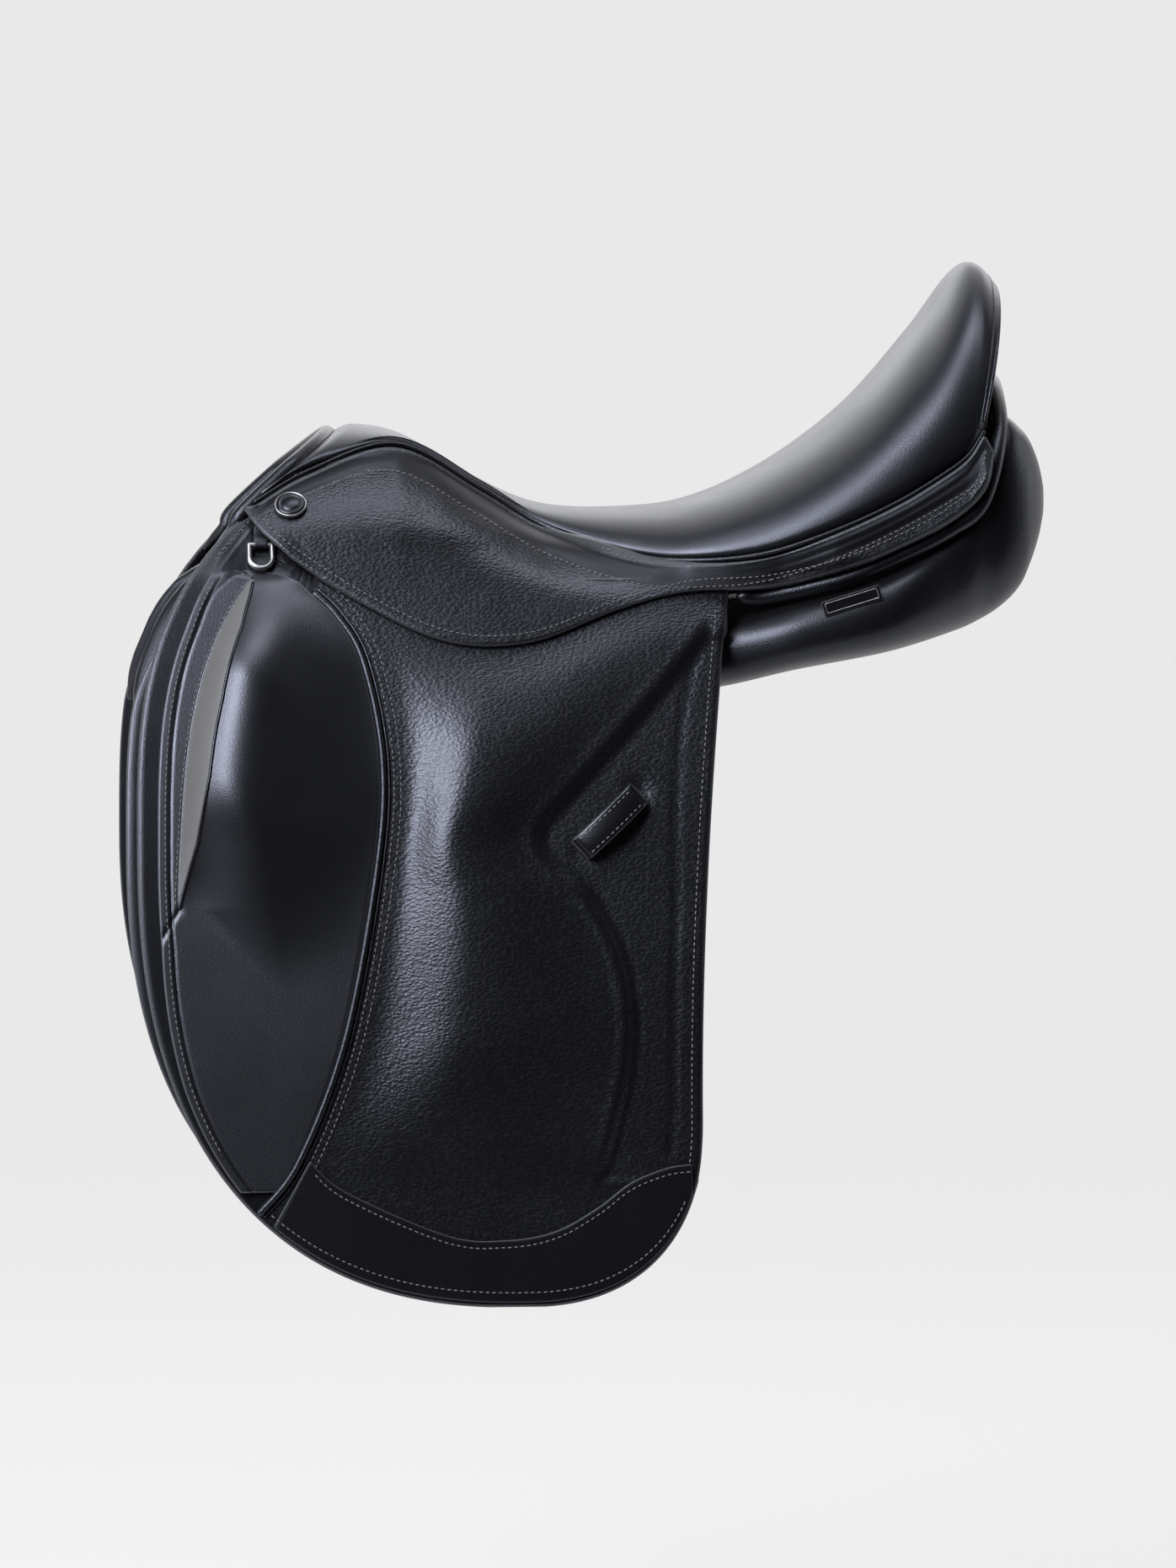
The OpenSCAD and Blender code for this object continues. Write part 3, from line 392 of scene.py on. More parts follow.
    def piping_x(self, z: Array) -> Array:
        """The piping's place at a height, and over it the round top of the block."""
        line, f, e = self.piping_line()[::-1], self.fold_h, self.ear
        dome = np.interp(z, [f - 8, f - 2, f + 2, f + 4.5, f + 6],
                         [e + 70, e + 64, e + 56, e + 46, e + 36])
        return np.where(z > f - 8, dome, np.interp(z, line[:, 1], line[:, 0]))

    def block_foot(self, z: Array) -> Array:
        """The stitched foot of the knee block's front."""
        low = self.block_top - self.block_len
        foot = self.edge_front(z) + mix(20.5, 33, np.clip((z - low) / self.block_len, 0, 1))
        return np.minimum(foot, self.piping_x(z) - self.piping_d - 8)

    def block_rise(self, u: Array, z: Array) -> Array:
        """The block's height over the flap a share u across it."""
        along = np.clip((self.block_top - z) / self.block_len, 0, 1)
        ends = ease(along / 0.34) ** 0.7 * ease((1 - along) / 0.4)
        peak = self.block_peak
        front = np.sin(np.radians(90 * np.clip(u / peak, 0, 1)))
        back = np.cos(np.radians(90 * np.clip((u - peak) / (1 - peak), 0, 1)))
        return self.block_h * ends * np.where(u < peak, front, np.maximum(back, 0) ** 1.25)

    def panel_stations(self) -> Array:
        """Panel sections: place, middle across and up, half width, half height and tilt."""
        shares = np.array([
            [0.0100, 1.2900, 0.3700, 0.2200, 0.0500, 62], [0.0125, 1.2900, 0.3650, 0.4200, 0.0900, 62],
            [0.0180, 1.2880, 0.3550, 0.6100, 0.1400, 62],
            [0.0265, 1.2857, 0.3448, 0.7679, 0.1875, 62], [0.0606, 1.2321, 0.4483, 0.8929, 0.2812, 58],
            [0.1307, 1.0893, 0.5690, 0.9643, 0.3750, 52], [0.2443, 0.9643, 0.5517, 0.9643, 0.4688, 42],
            [0.3769, 0.8893, 0.3621, 0.8929, 0.5312, 27], [0.5095, 0.8607, 0.2414, 0.8625, 0.6250, 14],
            [0.6231, 0.8500, 0.3103, 0.8429, 0.6875, 8], [0.7178, 0.9643, 0.4828, 0.9643, 0.6875, 4],
            [0.8220, 0.9800, 0.7300, 0.9600, 0.8200, 3], [0.8977, 0.8300, 1.1000, 0.8500, 1.1400, 2],
            [0.9299, 0.7700, 1.5031, 0.7900, 1.6578, 0], [0.9545, 0.7600, 1.6802, 0.7300, 1.7184, 0],
            [0.9735, 0.7500, 1.7166, 0.6250, 1.4563, 0], [0.9848, 0.7400, 1.7597, 0.5100, 1.1438, 0],
            [0.9943, 0.7300, 1.7788, 0.3600, 0.7403, 0], [1.0000, 0.7300, 1.7900, 0.2000, 0.3600, 0]])
        length = self.flap_front + self.panel_back
        size = [length, self.panel_w, self.fold_h, self.panel_w, self.panel_h, 1]
        return shares * size + [-self.flap_front, self.panel_in, 0, 0, 0, 0]

    def panel_rings(self, steps: int, sides: int) -> Array:
        """Rings of the panel from front to back."""
        p = curve_through(self.panel_stations(), steps)[:, None, :]
        a, power = turns(sides), self.panel_square
        du = p[..., 3] * np.sign(np.cos(a)) * np.abs(np.cos(a)) ** power
        dv = p[..., 4] * np.sign(np.sin(a)) * np.abs(np.sin(a)) ** power
        tilt = np.radians(p[..., 5])
        y = p[..., 1] + du * np.cos(tilt) + dv * np.sin(tilt)
        z = p[..., 2] - du * np.sin(tilt) + dv * np.cos(tilt)
        lean = self.panel_lean * np.clip((-80 - p[..., 0]) / 120, 0, 1)
        return xyz(p[..., 0] + lean * (z - p[..., 2]), y, z)


SHAPE = SaddleShape()


@dataclass
class Form:
    """A mesh in millimetres, with wear per point and a material number per face."""

    points: Array
    faces: list[tuple[int, ...]]
    wear: Array
    finish: Array

    @staticmethod
    def of(points: Array, faces: list, wear: Union[Array, float] = 0.0) -> "Form":
        """A form of one material whose faces are turned outwards."""
        form = Form(points, faces, np.zeros(len(points)) + wear, np.zeros(len(faces), int))
        return form if form.volume() > 0 else form.turned()

    def volume(self) -> float:
        """Signed volume, by fans of triangles."""
        total = 0.0
        for size in {len(f) for f in self.faces}:
            f = np.array([f for f in self.faces if len(f) == size])
            p = self.points
            for k in range(1, size - 1):
                total += float(np.sum(p[f[:, 0]] * np.cross(p[f[:, k]], p[f[:, k + 1]])))
        return total / 6

    def turned(self) -> "Form":
        """The form with its faces the other way round."""
        return Form(self.points, [tuple(reversed(f)) for f in self.faces], self.wear, self.finish)

    def mirrored(self) -> "Form":
        """The form on the other side of the saddle."""
        return Form(self.points * [1, -1, 1], self.turned().faces, self.wear, self.finish)

    def on(self, side: Side) -> "Form":
        """The form, drawn on the right, on a side."""
        return self if side is Side.RIGHT else self.mirrored()

    def joined(self, other: "Form", finish: int = 0) -> "Form":
        """Both forms as one, the other's faces with their material number raised."""
        n = len(self.points)
        return Form(
            np.vstack([self.points, other.points]),
            self.faces + [tuple(i + n for i in f) for f in other.faces],
            np.concatenate([self.wear, other.wear]),
            np.concatenate([self.finish, other.finish + finish]))

    def piece(self, name: str, *materials: Material) -> Object:
        """The form as a smooth mesh object in metres.

        Args:
            name: the piece's name.
            materials: one for each material number.

        Returns:
            The object, linked into the scene.
        """
        mesh = bpy.data.meshes.new(name)
        mesh.from_pydata((self.points * MM).tolist(), [], self.faces)
        smoothed(mesh, *materials).polygons.foreach_set("material_index", self.finish.astype(np.int32))
        wear = mesh.attributes.new("wear", "FLOAT", "POINT")
        wear.data.foreach_set("value", self.wear.astype(np.float32))
        mesh.update()
        return placed(name, mesh)


def grid_normals(grid: Array) -> Array:
    """Unit normals of a grid of points."""
    return unit(np.cross(np.gradient(grid, axis=0), np.gradient(grid, axis=1)))


def sheet(outer: Array, inner: Array, rim: int = 4, bulge: float = 0.9) -> Form:
    """A thick sheet between two grids, with a rounded and worn rim.

    Args:
        outer: grid of points of the face that shows.
        inner: grid of the face behind it.
        rim: steps round the rim.
        bulge: how far the rim stands out, as a share of half the thickness.

    Returns:
        The closed form.
    """
    n, m = outer.shape[:2]
    index = np.arange(n * m).reshape(n, m)
    corners = [index[:-1, :-1], index[1:, :-1], index[1:, 1:], index[:-1, 1:]]
    quads = np.stack(corners, axis=2).reshape(-1, 4)
    loop = np.concatenate([index[0, :-1], index[:-1, -1], index[-1, :0:-1], index[:0:-1, 0]])
    flat_o, flat_i = outer.reshape(-1, 3), inner.reshape(-1, 3)
    half = (flat_o[loop] - flat_i[loop]) / 2
    middle = (flat_o[loop] + flat_i[loop]) / 2
    along = unit(np.roll(middle, -2, axis=0) - np.roll(middle, 2, axis=0))
    out = unit(np.cross(along, half))
    centre = flat_o.mean(axis=0)
    if np.sum(out * (middle - centre)) < 0:
        out = -out
    thick = np.linalg.norm(half, axis=1, keepdims=True)
    rings = [middle + math.cos(a) * half + math.sin(a) * out * thick * bulge
             for a in np.linspace(0, math.pi, rim + 1)[1:-1]]
    count, size = n * m, len(loop)
    between = [2 * count + k * size + np.arange(size) for k in range(len(rings))]
    lines = [loop, *between, loop + count]
    faces = [tuple(q) for q in quads.tolist()] + [tuple(q[::-1] + count) for q in quads]
    for a, b in zip(lines[:-1], lines[1:]):
        faces += np.stack([a, b, np.roll(b, -1), np.roll(a, -1)], axis=1).tolist()
    wear = np.concatenate([np.zeros(2 * count), np.ones(len(rings) * size)])
    wear[loop] = EDGE_WEAR
    form = Form.of(np.vstack([flat_o, flat_i, *rings]), [tuple(map(int, f)) for f in faces], wear)
    return _rim_agrees(form, len(quads))


def _rim_agrees(form: Form, cells: int) -> Form:
    """The form with its rim faces turned to agree with the sheet's faces."""
    edges = {(f[k], f[(k + 1) % 4]) for f in form.faces[:cells] for k in range(4)}
    rim = form.faces[2 * cells:]
    if any((f[k], f[(k + 1) % 4]) in edges for f in rim[:8] for k in range(4)):
        form.faces = form.faces[:2 * cells] + [tuple(reversed(f)) for f in rim]
    return form


def tube(path: Array, radius: Union[float, Array], sides: int = 12) -> Form:
    """A round tube with domed ends along a path.

    Args:
        path: its centreline.
        radius: one radius, or one for each point.
        sides: points round it.

    Returns:
        The closed form.
    """
    r = np.zeros(len(path)) + radius
    ahead = unit(np.gradient(path, axis=0))
    over = np.array([0.31, 0.52, 0.79])
    rings = []
    for i, t in enumerate(ahead):
        over = over - t * (over @ t)
        over /= np.linalg.norm(over)
        across = np.cross(t, over)
        if i in (0, len(path) - 1):
            way = -1 if i == 0 else 1
            domes = [(path[i] + way * t * r[i] * math.sin(e), r[i] * math.cos(e)) for e in DOME_ANGLES]
            domes = domes[::-1] if i == 0 else domes
        else:
            domes = [(path[i], r[i])]
        for centre, size in domes:
            rings.append(centre + size * circle(over, across, sides))
    return loft(np.array(rings))


def loft(rings: Array) -> Form:
    """A closed form through rings of points, closed by a point at each end."""
    n, m = rings.shape[:2]
    index = np.arange(n * m).reshape(n, m)
    nxt = np.roll(index, -1, axis=1)
    quads = np.stack([index[:-1], index[1:], nxt[1:], nxt[:-1]], axis=2).reshape(-1, 4)
    faces = [tuple(f) for f in quads.tolist()]
    faces += [(n * m, int(index[0, k]), int(nxt[0, k])) for k in range(m)]
    faces += [(n * m + 1, int(nxt[-1, k]), int(index[-1, k])) for k in range(m)]
    ends = np.stack([rings[0].mean(axis=0), rings[-1].mean(axis=0)])
    return Form.of(np.vstack([rings.reshape(-1, 3), ends]), faces)


def turned_profile(profile: Sequence[tuple[float, float]], centre: Array, axis: Array,
                   sides: int = 40) -> Form:
    """A turned form: (radius, height) pairs round an axis, from one pole to the other."""
    axis = unit(np.asarray(axis, float))
    over = unit(np.cross(axis, [0.2, 0.1, 1.0]))
    turn = circle(over, np.cross(axis, over), sides)
    return loft(np.array([centre + h * axis + max(r, 0.02) * turn for r, h in profile]))


Value = Union[float, tuple, "Sock"]


class Sock:
    """A shader socket that takes part in arithmetic."""

    def __init__(self, graph: "Graph", socket: bpy.types.NodeSocket):
        self.graph, self.socket = graph, socket

    def _math(self, operation: str, a: Value, b: Value) -> "Sock":
        """One Math node."""
        return self.graph.node("Math", {"operation": operation}, {0: a, 1: b})

    def __add__(self, other: Value) -> "Sock":
        return self._math("ADD", self, other)

    def __radd__(self, other: Value) -> "Sock":
        return self._math("ADD", other, self)

    def __sub__(self, other: Value) -> "Sock":
        return self._math("SUBTRACT", self, other)

    def __rsub__(self, other: Value) -> "Sock":
        return self._math("SUBTRACT", other, self)

    def __mul__(self, other: Value) -> "Sock":
        return self._math("MULTIPLY", self, other)

    def __rmul__(self, other: Value) -> "Sock":
        return self._math("MULTIPLY", other, self)

    def __truediv__(self, other: Value) -> "Sock":
        return self._math("DIVIDE", self, other)

    def __pow__(self, other: Value) -> "Sock":
        return self._math("POWER", self, other)


class Graph:
    """A material's or world's nodes."""

    def __init__(self, owner: Union[Material, bpy.types.World]):
        owner.use_nodes = True
        self.tree = owner.node_tree
        self.tree.nodes.clear()

    def node(self, kind: str, settings: dict | None = None, inputs: dict | None = None,
             out: Union[int, str] = 0) -> Sock:
        """Adds one node.

        Args:
            kind: its type without the ShaderNode prefix.
            settings: attributes of the node.
            inputs: values or sockets by input name or number.
            out: the output that is returned.

        Returns:
            The output's socket.
        """
        made = self.tree.nodes.new("ShaderNode" + kind)
        for key, value in (settings or {}).items():
            setattr(made, key, value)
        for key, value in (inputs or {}).items():
            if isinstance(value, Sock):
                self.tree.links.new(value.socket, made.inputs[key])
            else:
                opaque = made.inputs[key].type == "RGBA" and len(value) == 3
                made.inputs[key].default_value = (*value, 1.0) if opaque else value
        return Sock(self, made.outputs[out] if made.outputs else None)

    def vector(self, operation: str, a: Value, b: Value) -> Sock:
        """One Vector Math node."""
        second = "Scale" if operation == "SCALE" else 1
        return self.node("VectorMath", {"operation": operation}, {0: a, second: b})

    def place(self, size_mm: float) -> Sock:
        """Object coordinates, one unit for each size."""
        return self.vector("MULTIPLY", self.node("TexCoord", out="Object"), (1000 / size_mm,) * 3)

    def noise(self, size_mm: float, detail: float = 3.0, out: str = "Fac") -> Sock:
        """Noise whose features are about a size."""
        inputs = {"Vector": self.place(size_mm), "Scale": 1.0, "Detail": detail}
        return self.node("TexNoise", inputs=inputs, out=out)

    def wave(self, way: str, size_mm: float, scale: float, distortion: float, detail: float = 2.0) -> Sock:
        """Bands that follow each other in a direction."""
        inputs = {"Vector": self.place(size_mm), "Scale": scale, "Distortion": distortion, "Detail": detail}
        return self.node("TexWave", {"wave_type": "BANDS", "bands_direction": way}, inputs, out="Fac")

    def bump(self, height: Sock, strength: float, depth_mm: float) -> Sock:
        """A normal that shows a height."""
        return self.node("Bump", inputs={"Height": height, "Strength": strength, "Distance": depth_mm * MM})

    def tone(self, share: Value, a: tuple, b: tuple) -> Sock:
        """A colour between two."""
        return self.node("Mix", {"data_type": "RGBA"}, {"Factor": share, 6: a, 7: b}, out=2)

    def bounded(self, value: Sock, low: float, high: float) -> Sock:
        """A value from low to high brought to the range 0 to 1, with smooth ends."""
        return self.node("MapRange", {"interpolation_type": "SMOOTHSTEP"},
                         {"Value": value, "From Min": low, "From Max": high})

    def surface(self, shader: Sock) -> None:
        """Connects the shader to the output."""
        kind = "OutputWorld" if self.tree.id_data.__class__.__name__ == "World" else "OutputMaterial"
        self.node(kind, inputs={"Surface": shader})


@dataclass(frozen=True)
class Finish:
    """A material and the values that it is built from."""

    name: str

    def build(self) -> Material:
        """Makes the material."""
        material = bpy.data.materials.new(self.name)
        graph = Graph(material)
        graph.surface(graph.node("BsdfPrincipled", inputs=self.shade(graph)))
        return material

    def shade(self, g: Graph) -> dict[str, Value]:
        """Lays out the finish's nodes and gives the shader's inputs."""
        raise NotImplementedError(self.name)


@dataclass(frozen=True)
class Leather(Finish):
    """A leather: tone, gloss, grain and creases."""

    dark: tuple = (0.002, 0.002, 0.0024)
    light: tuple = (0.0036, 0.0037, 0.0045)
    edge: tuple = (0.03, 0.031, 0.034)
    roughness: float = 0.42
    patchy: float = 0.12
    patch_mm: float = 42.0
    grain_mm: float = 1.2
    grain: float = 0.35
    pore_mm: float = 0.45
    crease_mm: float = 14.0
    crease: float = 0.2
    shine: float = 0.5
    sheen: tuple = (0.77, 0.81, 1.0)
    depth_mm: float = 0.6
    stretch: tuple = (1.0, 1.0, 1.0)

    def shade(self, g: Graph) -> dict[str, Value]:
        """Pebbled grain, fine pores, slack creases, patchy gloss and worn edges."""
        drift = g.vector("SCALE", g.noise(2.6, 2.0, "Color"), 0.55)
        along = g.vector("MULTIPLY", g.place(self.grain_mm), self.stretch)
        cells = g.node("TexVoronoi", {"feature": "SMOOTH_F1"}, {
            "Vector": g.vector("ADD", along, drift), "Scale": 1.0, "Smoothness": 0.35}, out="Distance")
        pores, slack, patch = g.noise(self.pore_mm, 2.0), g.noise(self.crease_mm, 4.0), g.noise(self.patch_mm)
        wear = g.node("Attribute", {"attribute_name": "wear"}, out="Fac")
        height = (1.0 - cells) * self.grain + pores * (0.3 * self.grain) + slack * self.crease
        worn = g.bounded(wear + (patch - 0.5) * 0.4, 0.25, 0.9)
        plain = g.tone(patch * 0.6 + cells * 0.5, self.light, self.dark)
        gloss = (patch - 0.5) * self.patchy + cells * (0.25 * self.grain) + worn * 0.06
        return {"Base Color": g.tone(worn, plain, self.edge), "Roughness": gloss + self.roughness,
                "Normal": g.bump(height, 0.8, self.depth_mm),
                "Specular IOR Level": self.shine, "Specular Tint": self.sheen}


@dataclass(frozen=True)
class Thread(Finish):
    """A waxed, twisted thread."""

    dark: tuple = (0.05, 0.05, 0.055)
    light: tuple = (0.13, 0.13, 0.14)

    def shade(self, g: Graph) -> dict[str, Value]:
        """Fine twist, and light and dark stitches."""
        twist = g.wave("DIAGONAL", 1.0, 0.5, 1.5)
        uneven = g.noise(5.0, 2.0)
        return {"Base Color": g.tone(uneven * 0.7 + twist * 0.3, self.dark, self.light),
                "Roughness": uneven * 0.2 + 0.4, "Normal": g.bump(twist, 0.5, 0.1)}


@dataclass(frozen=True)
class Metal(Finish):
    """A metal, with fine scratches."""

    colour: tuple = (0.4, 0.41, 0.42)
    dull: tuple = (0.24, 0.245, 0.25)
    roughness: float = 0.26

    def shade(self, g: Graph) -> dict[str, Value]:
        """Drawn scratches, and dull patches from handling."""
        scratch = g.noise(0.7, 5.0)
        dull = g.bounded(g.noise(9.0, 4.0), 0.4, 0.7)
        return {"Base Color": g.tone(dull, self.colour, self.dull), "Metallic": 1.0,
                "Roughness": dull * 0.12 + scratch * 0.05 + self.roughness,
                "Normal": g.bump(scratch, 0.12, 0.1)}


@dataclass(frozen=True)
class Wood(Finish):
    """Laminated beech with a dark stain."""

    pale: tuple = (0.055, 0.037, 0.024)
    dark: tuple = (0.022, 0.014, 0.009)

    def shade(self, g: Graph) -> dict[str, Value]:
        """Long rings, flecks and a thin lacquer."""
        rings = g.wave("Z", 7.0, 0.6, 3.0, 3.0)
        fleck = g.noise(1.6, 4.0)
        return {"Base Color": g.tone(rings * 0.6 + fleck * 0.4, self.pale, self.dark),
                "Roughness": fleck * 0.2 + 0.4, "Normal": g.bump(rings * 0.5 + fleck * 0.5, 0.25, 0.2)}


@dataclass(frozen=True)
class Webbing(Finish):
    """A coarse woven web."""

    warp: tuple = (0.33, 0.3, 0.24)
    weft: tuple = (0.2, 0.18, 0.14)

    def shade(self, g: Graph) -> dict[str, Value]:
        """Crossed threads with a felted nap."""
        x, y, z = (g.wave(way, 1.6, 0.32, 0.4) for way in "XYZ")
        weave = x * 0.5 + (y + z) * 0.25
        nap = g.noise(0.6)
        return {"Base Color": g.tone(weave * 0.7 + nap * 0.3, self.weft, self.warp),
                "Roughness": nap * 0.15 + 0.78, "Normal": g.bump(weave + nap * 0.3, 0.7, 0.4)}


def built(finish: Finish) -> Material:
    """A field of the palette, which is built with it."""
    return field(default_factory=finish.build)


@dataclass
class Palette:
    """Every finish of the saddle, built once."""

    grained: Material = built(Leather(
        "grained leather", roughness=0.26, grain_mm=1.7, grain=0.7, crease_mm=17, crease=0.45, depth_mm=0.36,
        stretch=(0.72, 1.0, 1.15)))
    smooth: Material = built(Leather(
        "smooth calf leather", roughness=0.28, grain_mm=0.8, grain=0.1, crease_mm=26, crease=0.12,
        patchy=0.1))
    seat: Material = built(Leather(
        "seat leather", roughness=0.37, grain_mm=0.8, grain=0.14, crease_mm=26, crease=0.12, patchy=0.1,
        shine=0.75))
    band: Material = built(Leather(
        "skirt band leather", roughness=0.42, grain_mm=0.8, grain=0.12, crease_mm=20, crease=0.2, shine=0.35))
    panel: Material = built(Leather(
        "panel leather", roughness=0.36, grain_mm=0.9, grain=0.16, crease_mm=18, crease=0.3))
    # The gusset's lighter grey is painted light: it stands in for the side light on the block's left face;
    # the dull, rough finish is real.
    matt: Material = built(Leather(
        "matt gusset leather", dark=(0.075, 0.074, 0.073), light=(0.095, 0.094, 0.092), roughness=0.6,
        grain_mm=0.8, grain=0.3))
    patch: Material = built(Leather(
        "reinforcing leather", dark=(0.002, 0.002, 0.0023), light=(0.003, 0.003, 0.0034), roughness=0.36,
        grain_mm=0.6, grain=0.12, shine=0.3))
    cord: Material = built(Leather(
        "welt leather", roughness=0.33, grain_mm=0.9, grain=0.2, crease_mm=5, crease=0.25))
    strap: Material = built(Leather(
        "bridle leather", roughness=0.42, grain_mm=0.9, grain=0.25, crease_mm=30))
    thread: Material = built(Thread("waxed thread"))
    steel: Material = built(Metal("stainless steel"))
    enamel: Material = built(Leather(
        "black enamel", roughness=0.3, grain_mm=2.5, grain=0.04, crease=0.05, patchy=0.06, shine=0.4))
    blackened: Material = built(Metal(
        "dark plated steel", colour=(0.3, 0.3, 0.31), dull=(0.17, 0.17, 0.175), roughness=0.3))
    wood: Material = built(Wood("laminated beech"))
    webbing: Material = built(Webbing("tree webbing"))


class Needle:
    """Sews rows of stitches with geometry nodes."""

    SLANT, SWAY, SEED = 0.12, 0.06, 7
    INPUTS = {"Rows": "Geometry", "Pitch": "Float", "Length": "Float", "Radius": "Float", "Slant": "Float",
              "Seed": "Int", "Thread": "Material"}
    NODES = {"into": "NodeGroupInput", "out": "NodeGroupOutput", "points": "GeometryNodeCurveToPoints",
             "bead": "GeometryNodeMeshUVSphere", "size": "ShaderNodeCombineXYZ",
             "turn": "FunctionNodeAlignRotationToVector", "slant": "FunctionNodeRotateRotation",
             "angle": "ShaderNodeCombineXYZ", "sway": "FunctionNodeRandomValue", "both": "ShaderNodeMath",
             "place": "GeometryNodeInstanceOnPoints", "real": "GeometryNodeRealizeInstances",
             "smooth": "GeometryNodeSetShadeSmooth", "paint": "GeometryNodeSetMaterial"}
    SETTINGS = (("points", "mode", "LENGTH"), ("turn", "axis", "X"), ("slant", "rotation_space", "LOCAL"))
    VALUES = (("bead", "Segments", 7), ("bead", "Rings", 5), ("sway", 2, -SWAY), ("sway", 3, SWAY))
    LINKS = (("into", "Rows", "points", "Curve"), ("into", "Pitch", "points", "Length"),
             ("into", "Length", "size", 0), ("into", "Radius", "size", 1), ("into", "Radius", "size", 2),
             ("into", "Seed", "sway", "Seed"), ("into", "Slant", "both", 0), ("sway", 1, "both", 1),
             ("both", 0, "angle", 2), ("points", "Tangent", "turn", "Vector"), ("turn", 0, "slant", 0),
             ("angle", 0, "slant", 1), ("points", "Points", "place", "Points"),
             ("bead", "Mesh", "place", "Instance"), ("slant", 0, "place", "Rotation"),
             ("size", 0, "place", "Scale"), ("place", "Instances", "real", "Geometry"),
             ("real", "Geometry", "smooth", 0), ("smooth", 0, "paint", "Geometry"),
             ("into", "Thread", "paint", "Material"), ("paint", "Geometry", "out", 0))

    def __init__(self, thread: Material):
        self.thread = thread
        self.tree = bpy.data.node_groups.new("stitch row", "GeometryNodeTree")
        self.ids: dict[str, str] = {}
        self._lay_out()

    def _lay_out(self) -> None:
        """Builds the tree: points along the rows, a bead of thread on each, turned along the row."""
        face = self.tree.interface
        for name, kind in self.INPUTS.items():
            made = face.new_socket(name, in_out="INPUT", socket_type="NodeSocket" + kind)
            self.ids[name] = made.identifier
        face.new_socket("Stitches", in_out="OUTPUT", socket_type="NodeSocketGeometry")
        nodes = {name: self.tree.nodes.new(kind) for name, kind in self.NODES.items()}
        for node, key, value in self.SETTINGS:
            setattr(nodes[node], key, value)
        for node, key, value in self.VALUES:
            nodes[node].inputs[key].default_value = value
        for source, out, target, into in self.LINKS:
            self.tree.links.new(nodes[source].outputs[out], nodes[target].inputs[into])

    def sew(self, name: str, rows: Sequence[Array], side: Side, pitch: float = 3.6, length: float = 1.35,
            radius: float = 0.42) -> Object:
        """Sews rows of stitches into one plain mesh.

        Args:
            name: the piece's name.
            rows: paths in millimetres, drawn on the right.
            side: the side to put them on.
            pitch: stitch spacing.
            length: half a stitch's length.
            radius: thread radius.

        Returns:
            The stitches as one object.
        """
        data = bpy.data.curves.new(name + " rows", "CURVE")
        data.dimensions = "3D"
        flip = np.array([1, side.value, 1])
        for row in rows:
            spline = data.splines.new("POLY")
            spline.points.add(len(row) - 1)
            flat = np.column_stack([row * flip * MM, np.ones(len(row))])
            spline.points.foreach_set("co", flat.astype(np.float32).ravel())
        guide = placed(name + " rows", data)
        modifier = guide.modifiers.new("stitches", "NODES")
        modifier.node_group = self.tree
        values = {"Pitch": pitch * MM, "Length": length * MM, "Radius": radius * MM, "Slant": self.SLANT,
                  "Seed": self.SEED, "Thread": self.thread}
        for key, value in values.items():
            modifier[self.ids[key]] = value
        graph = bpy.context.evaluated_depsgraph_get()
        mesh = bpy.data.meshes.new_from_object(guide.evaluated_get(graph), depsgraph=graph)
        mesh.name = name
        bpy.data.objects.remove(guide)
        return placed(name, mesh)


@dataclass
class Workshop:
    """What every sub-assembly shares: the finishes and the needle."""

    palette: Palette
    needle: Needle
    made: list[str] = field(default_factory=list)

    def make(self, form: Form, name: str, body: str, slot: str, node: str, *finishes: Material,
             side: Side | None = None) -> Object:
        """Makes a form into a piece on a body, in place of a CAD node.

        Args:
            form: the form, drawn on the right.
            name: the piece's name, without its side.
            body: the body it moves with.
            slot: the record's material slot; not used.
            node: the CAD node that it stands for, without its side.
            finishes: one for each material number.
            side: the side to put it on, for one of a pair.

        Returns:
            The piece.
        """
        if side is not None:
            form, name, node = form.on(side), side.of(name), side.of(node)
        return self.set_on(form.piece(name, *finishes), body, slot, node)

    def sew(self, name: str, rows: Sequence[Array], side: Side, body: str) -> None:
        """Sews rows of stitches onto a body, on a side."""
        self.set_on(self.needle.sew(side.of(name), rows, side), body, GRAINED)

    def set_on(self, piece: Object, body: str, slot: str, *nodes: str) -> Object:
        """Puts a piece on a body, in place of CAD nodes, and notes it.

        Args:
            piece: the finished object.
            body: the body it moves with.
            slot: the record's material slot; not used.
            nodes: CAD nodes that it stands for.

        Returns:
            The piece.
        """
        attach(piece, body)
        return self.stand_for(piece, slot, *nodes)

    def stand_for(self, piece: Object, slot: str, *nodes: str) -> Object:
        """Hides the CAD nodes that the piece stands for, and notes the piece."""
        if nodes:
            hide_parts(*nodes)
        self.made.append(piece.name)
        return piece

    def dress(self, node: str, material: Material) -> None:
        """Gives a CAD node that stays its finish."""
        mesh = frame["nodes"][node].data
        mesh.materials.clear()
        mesh.materials.append(material)
        self.made.append(node)


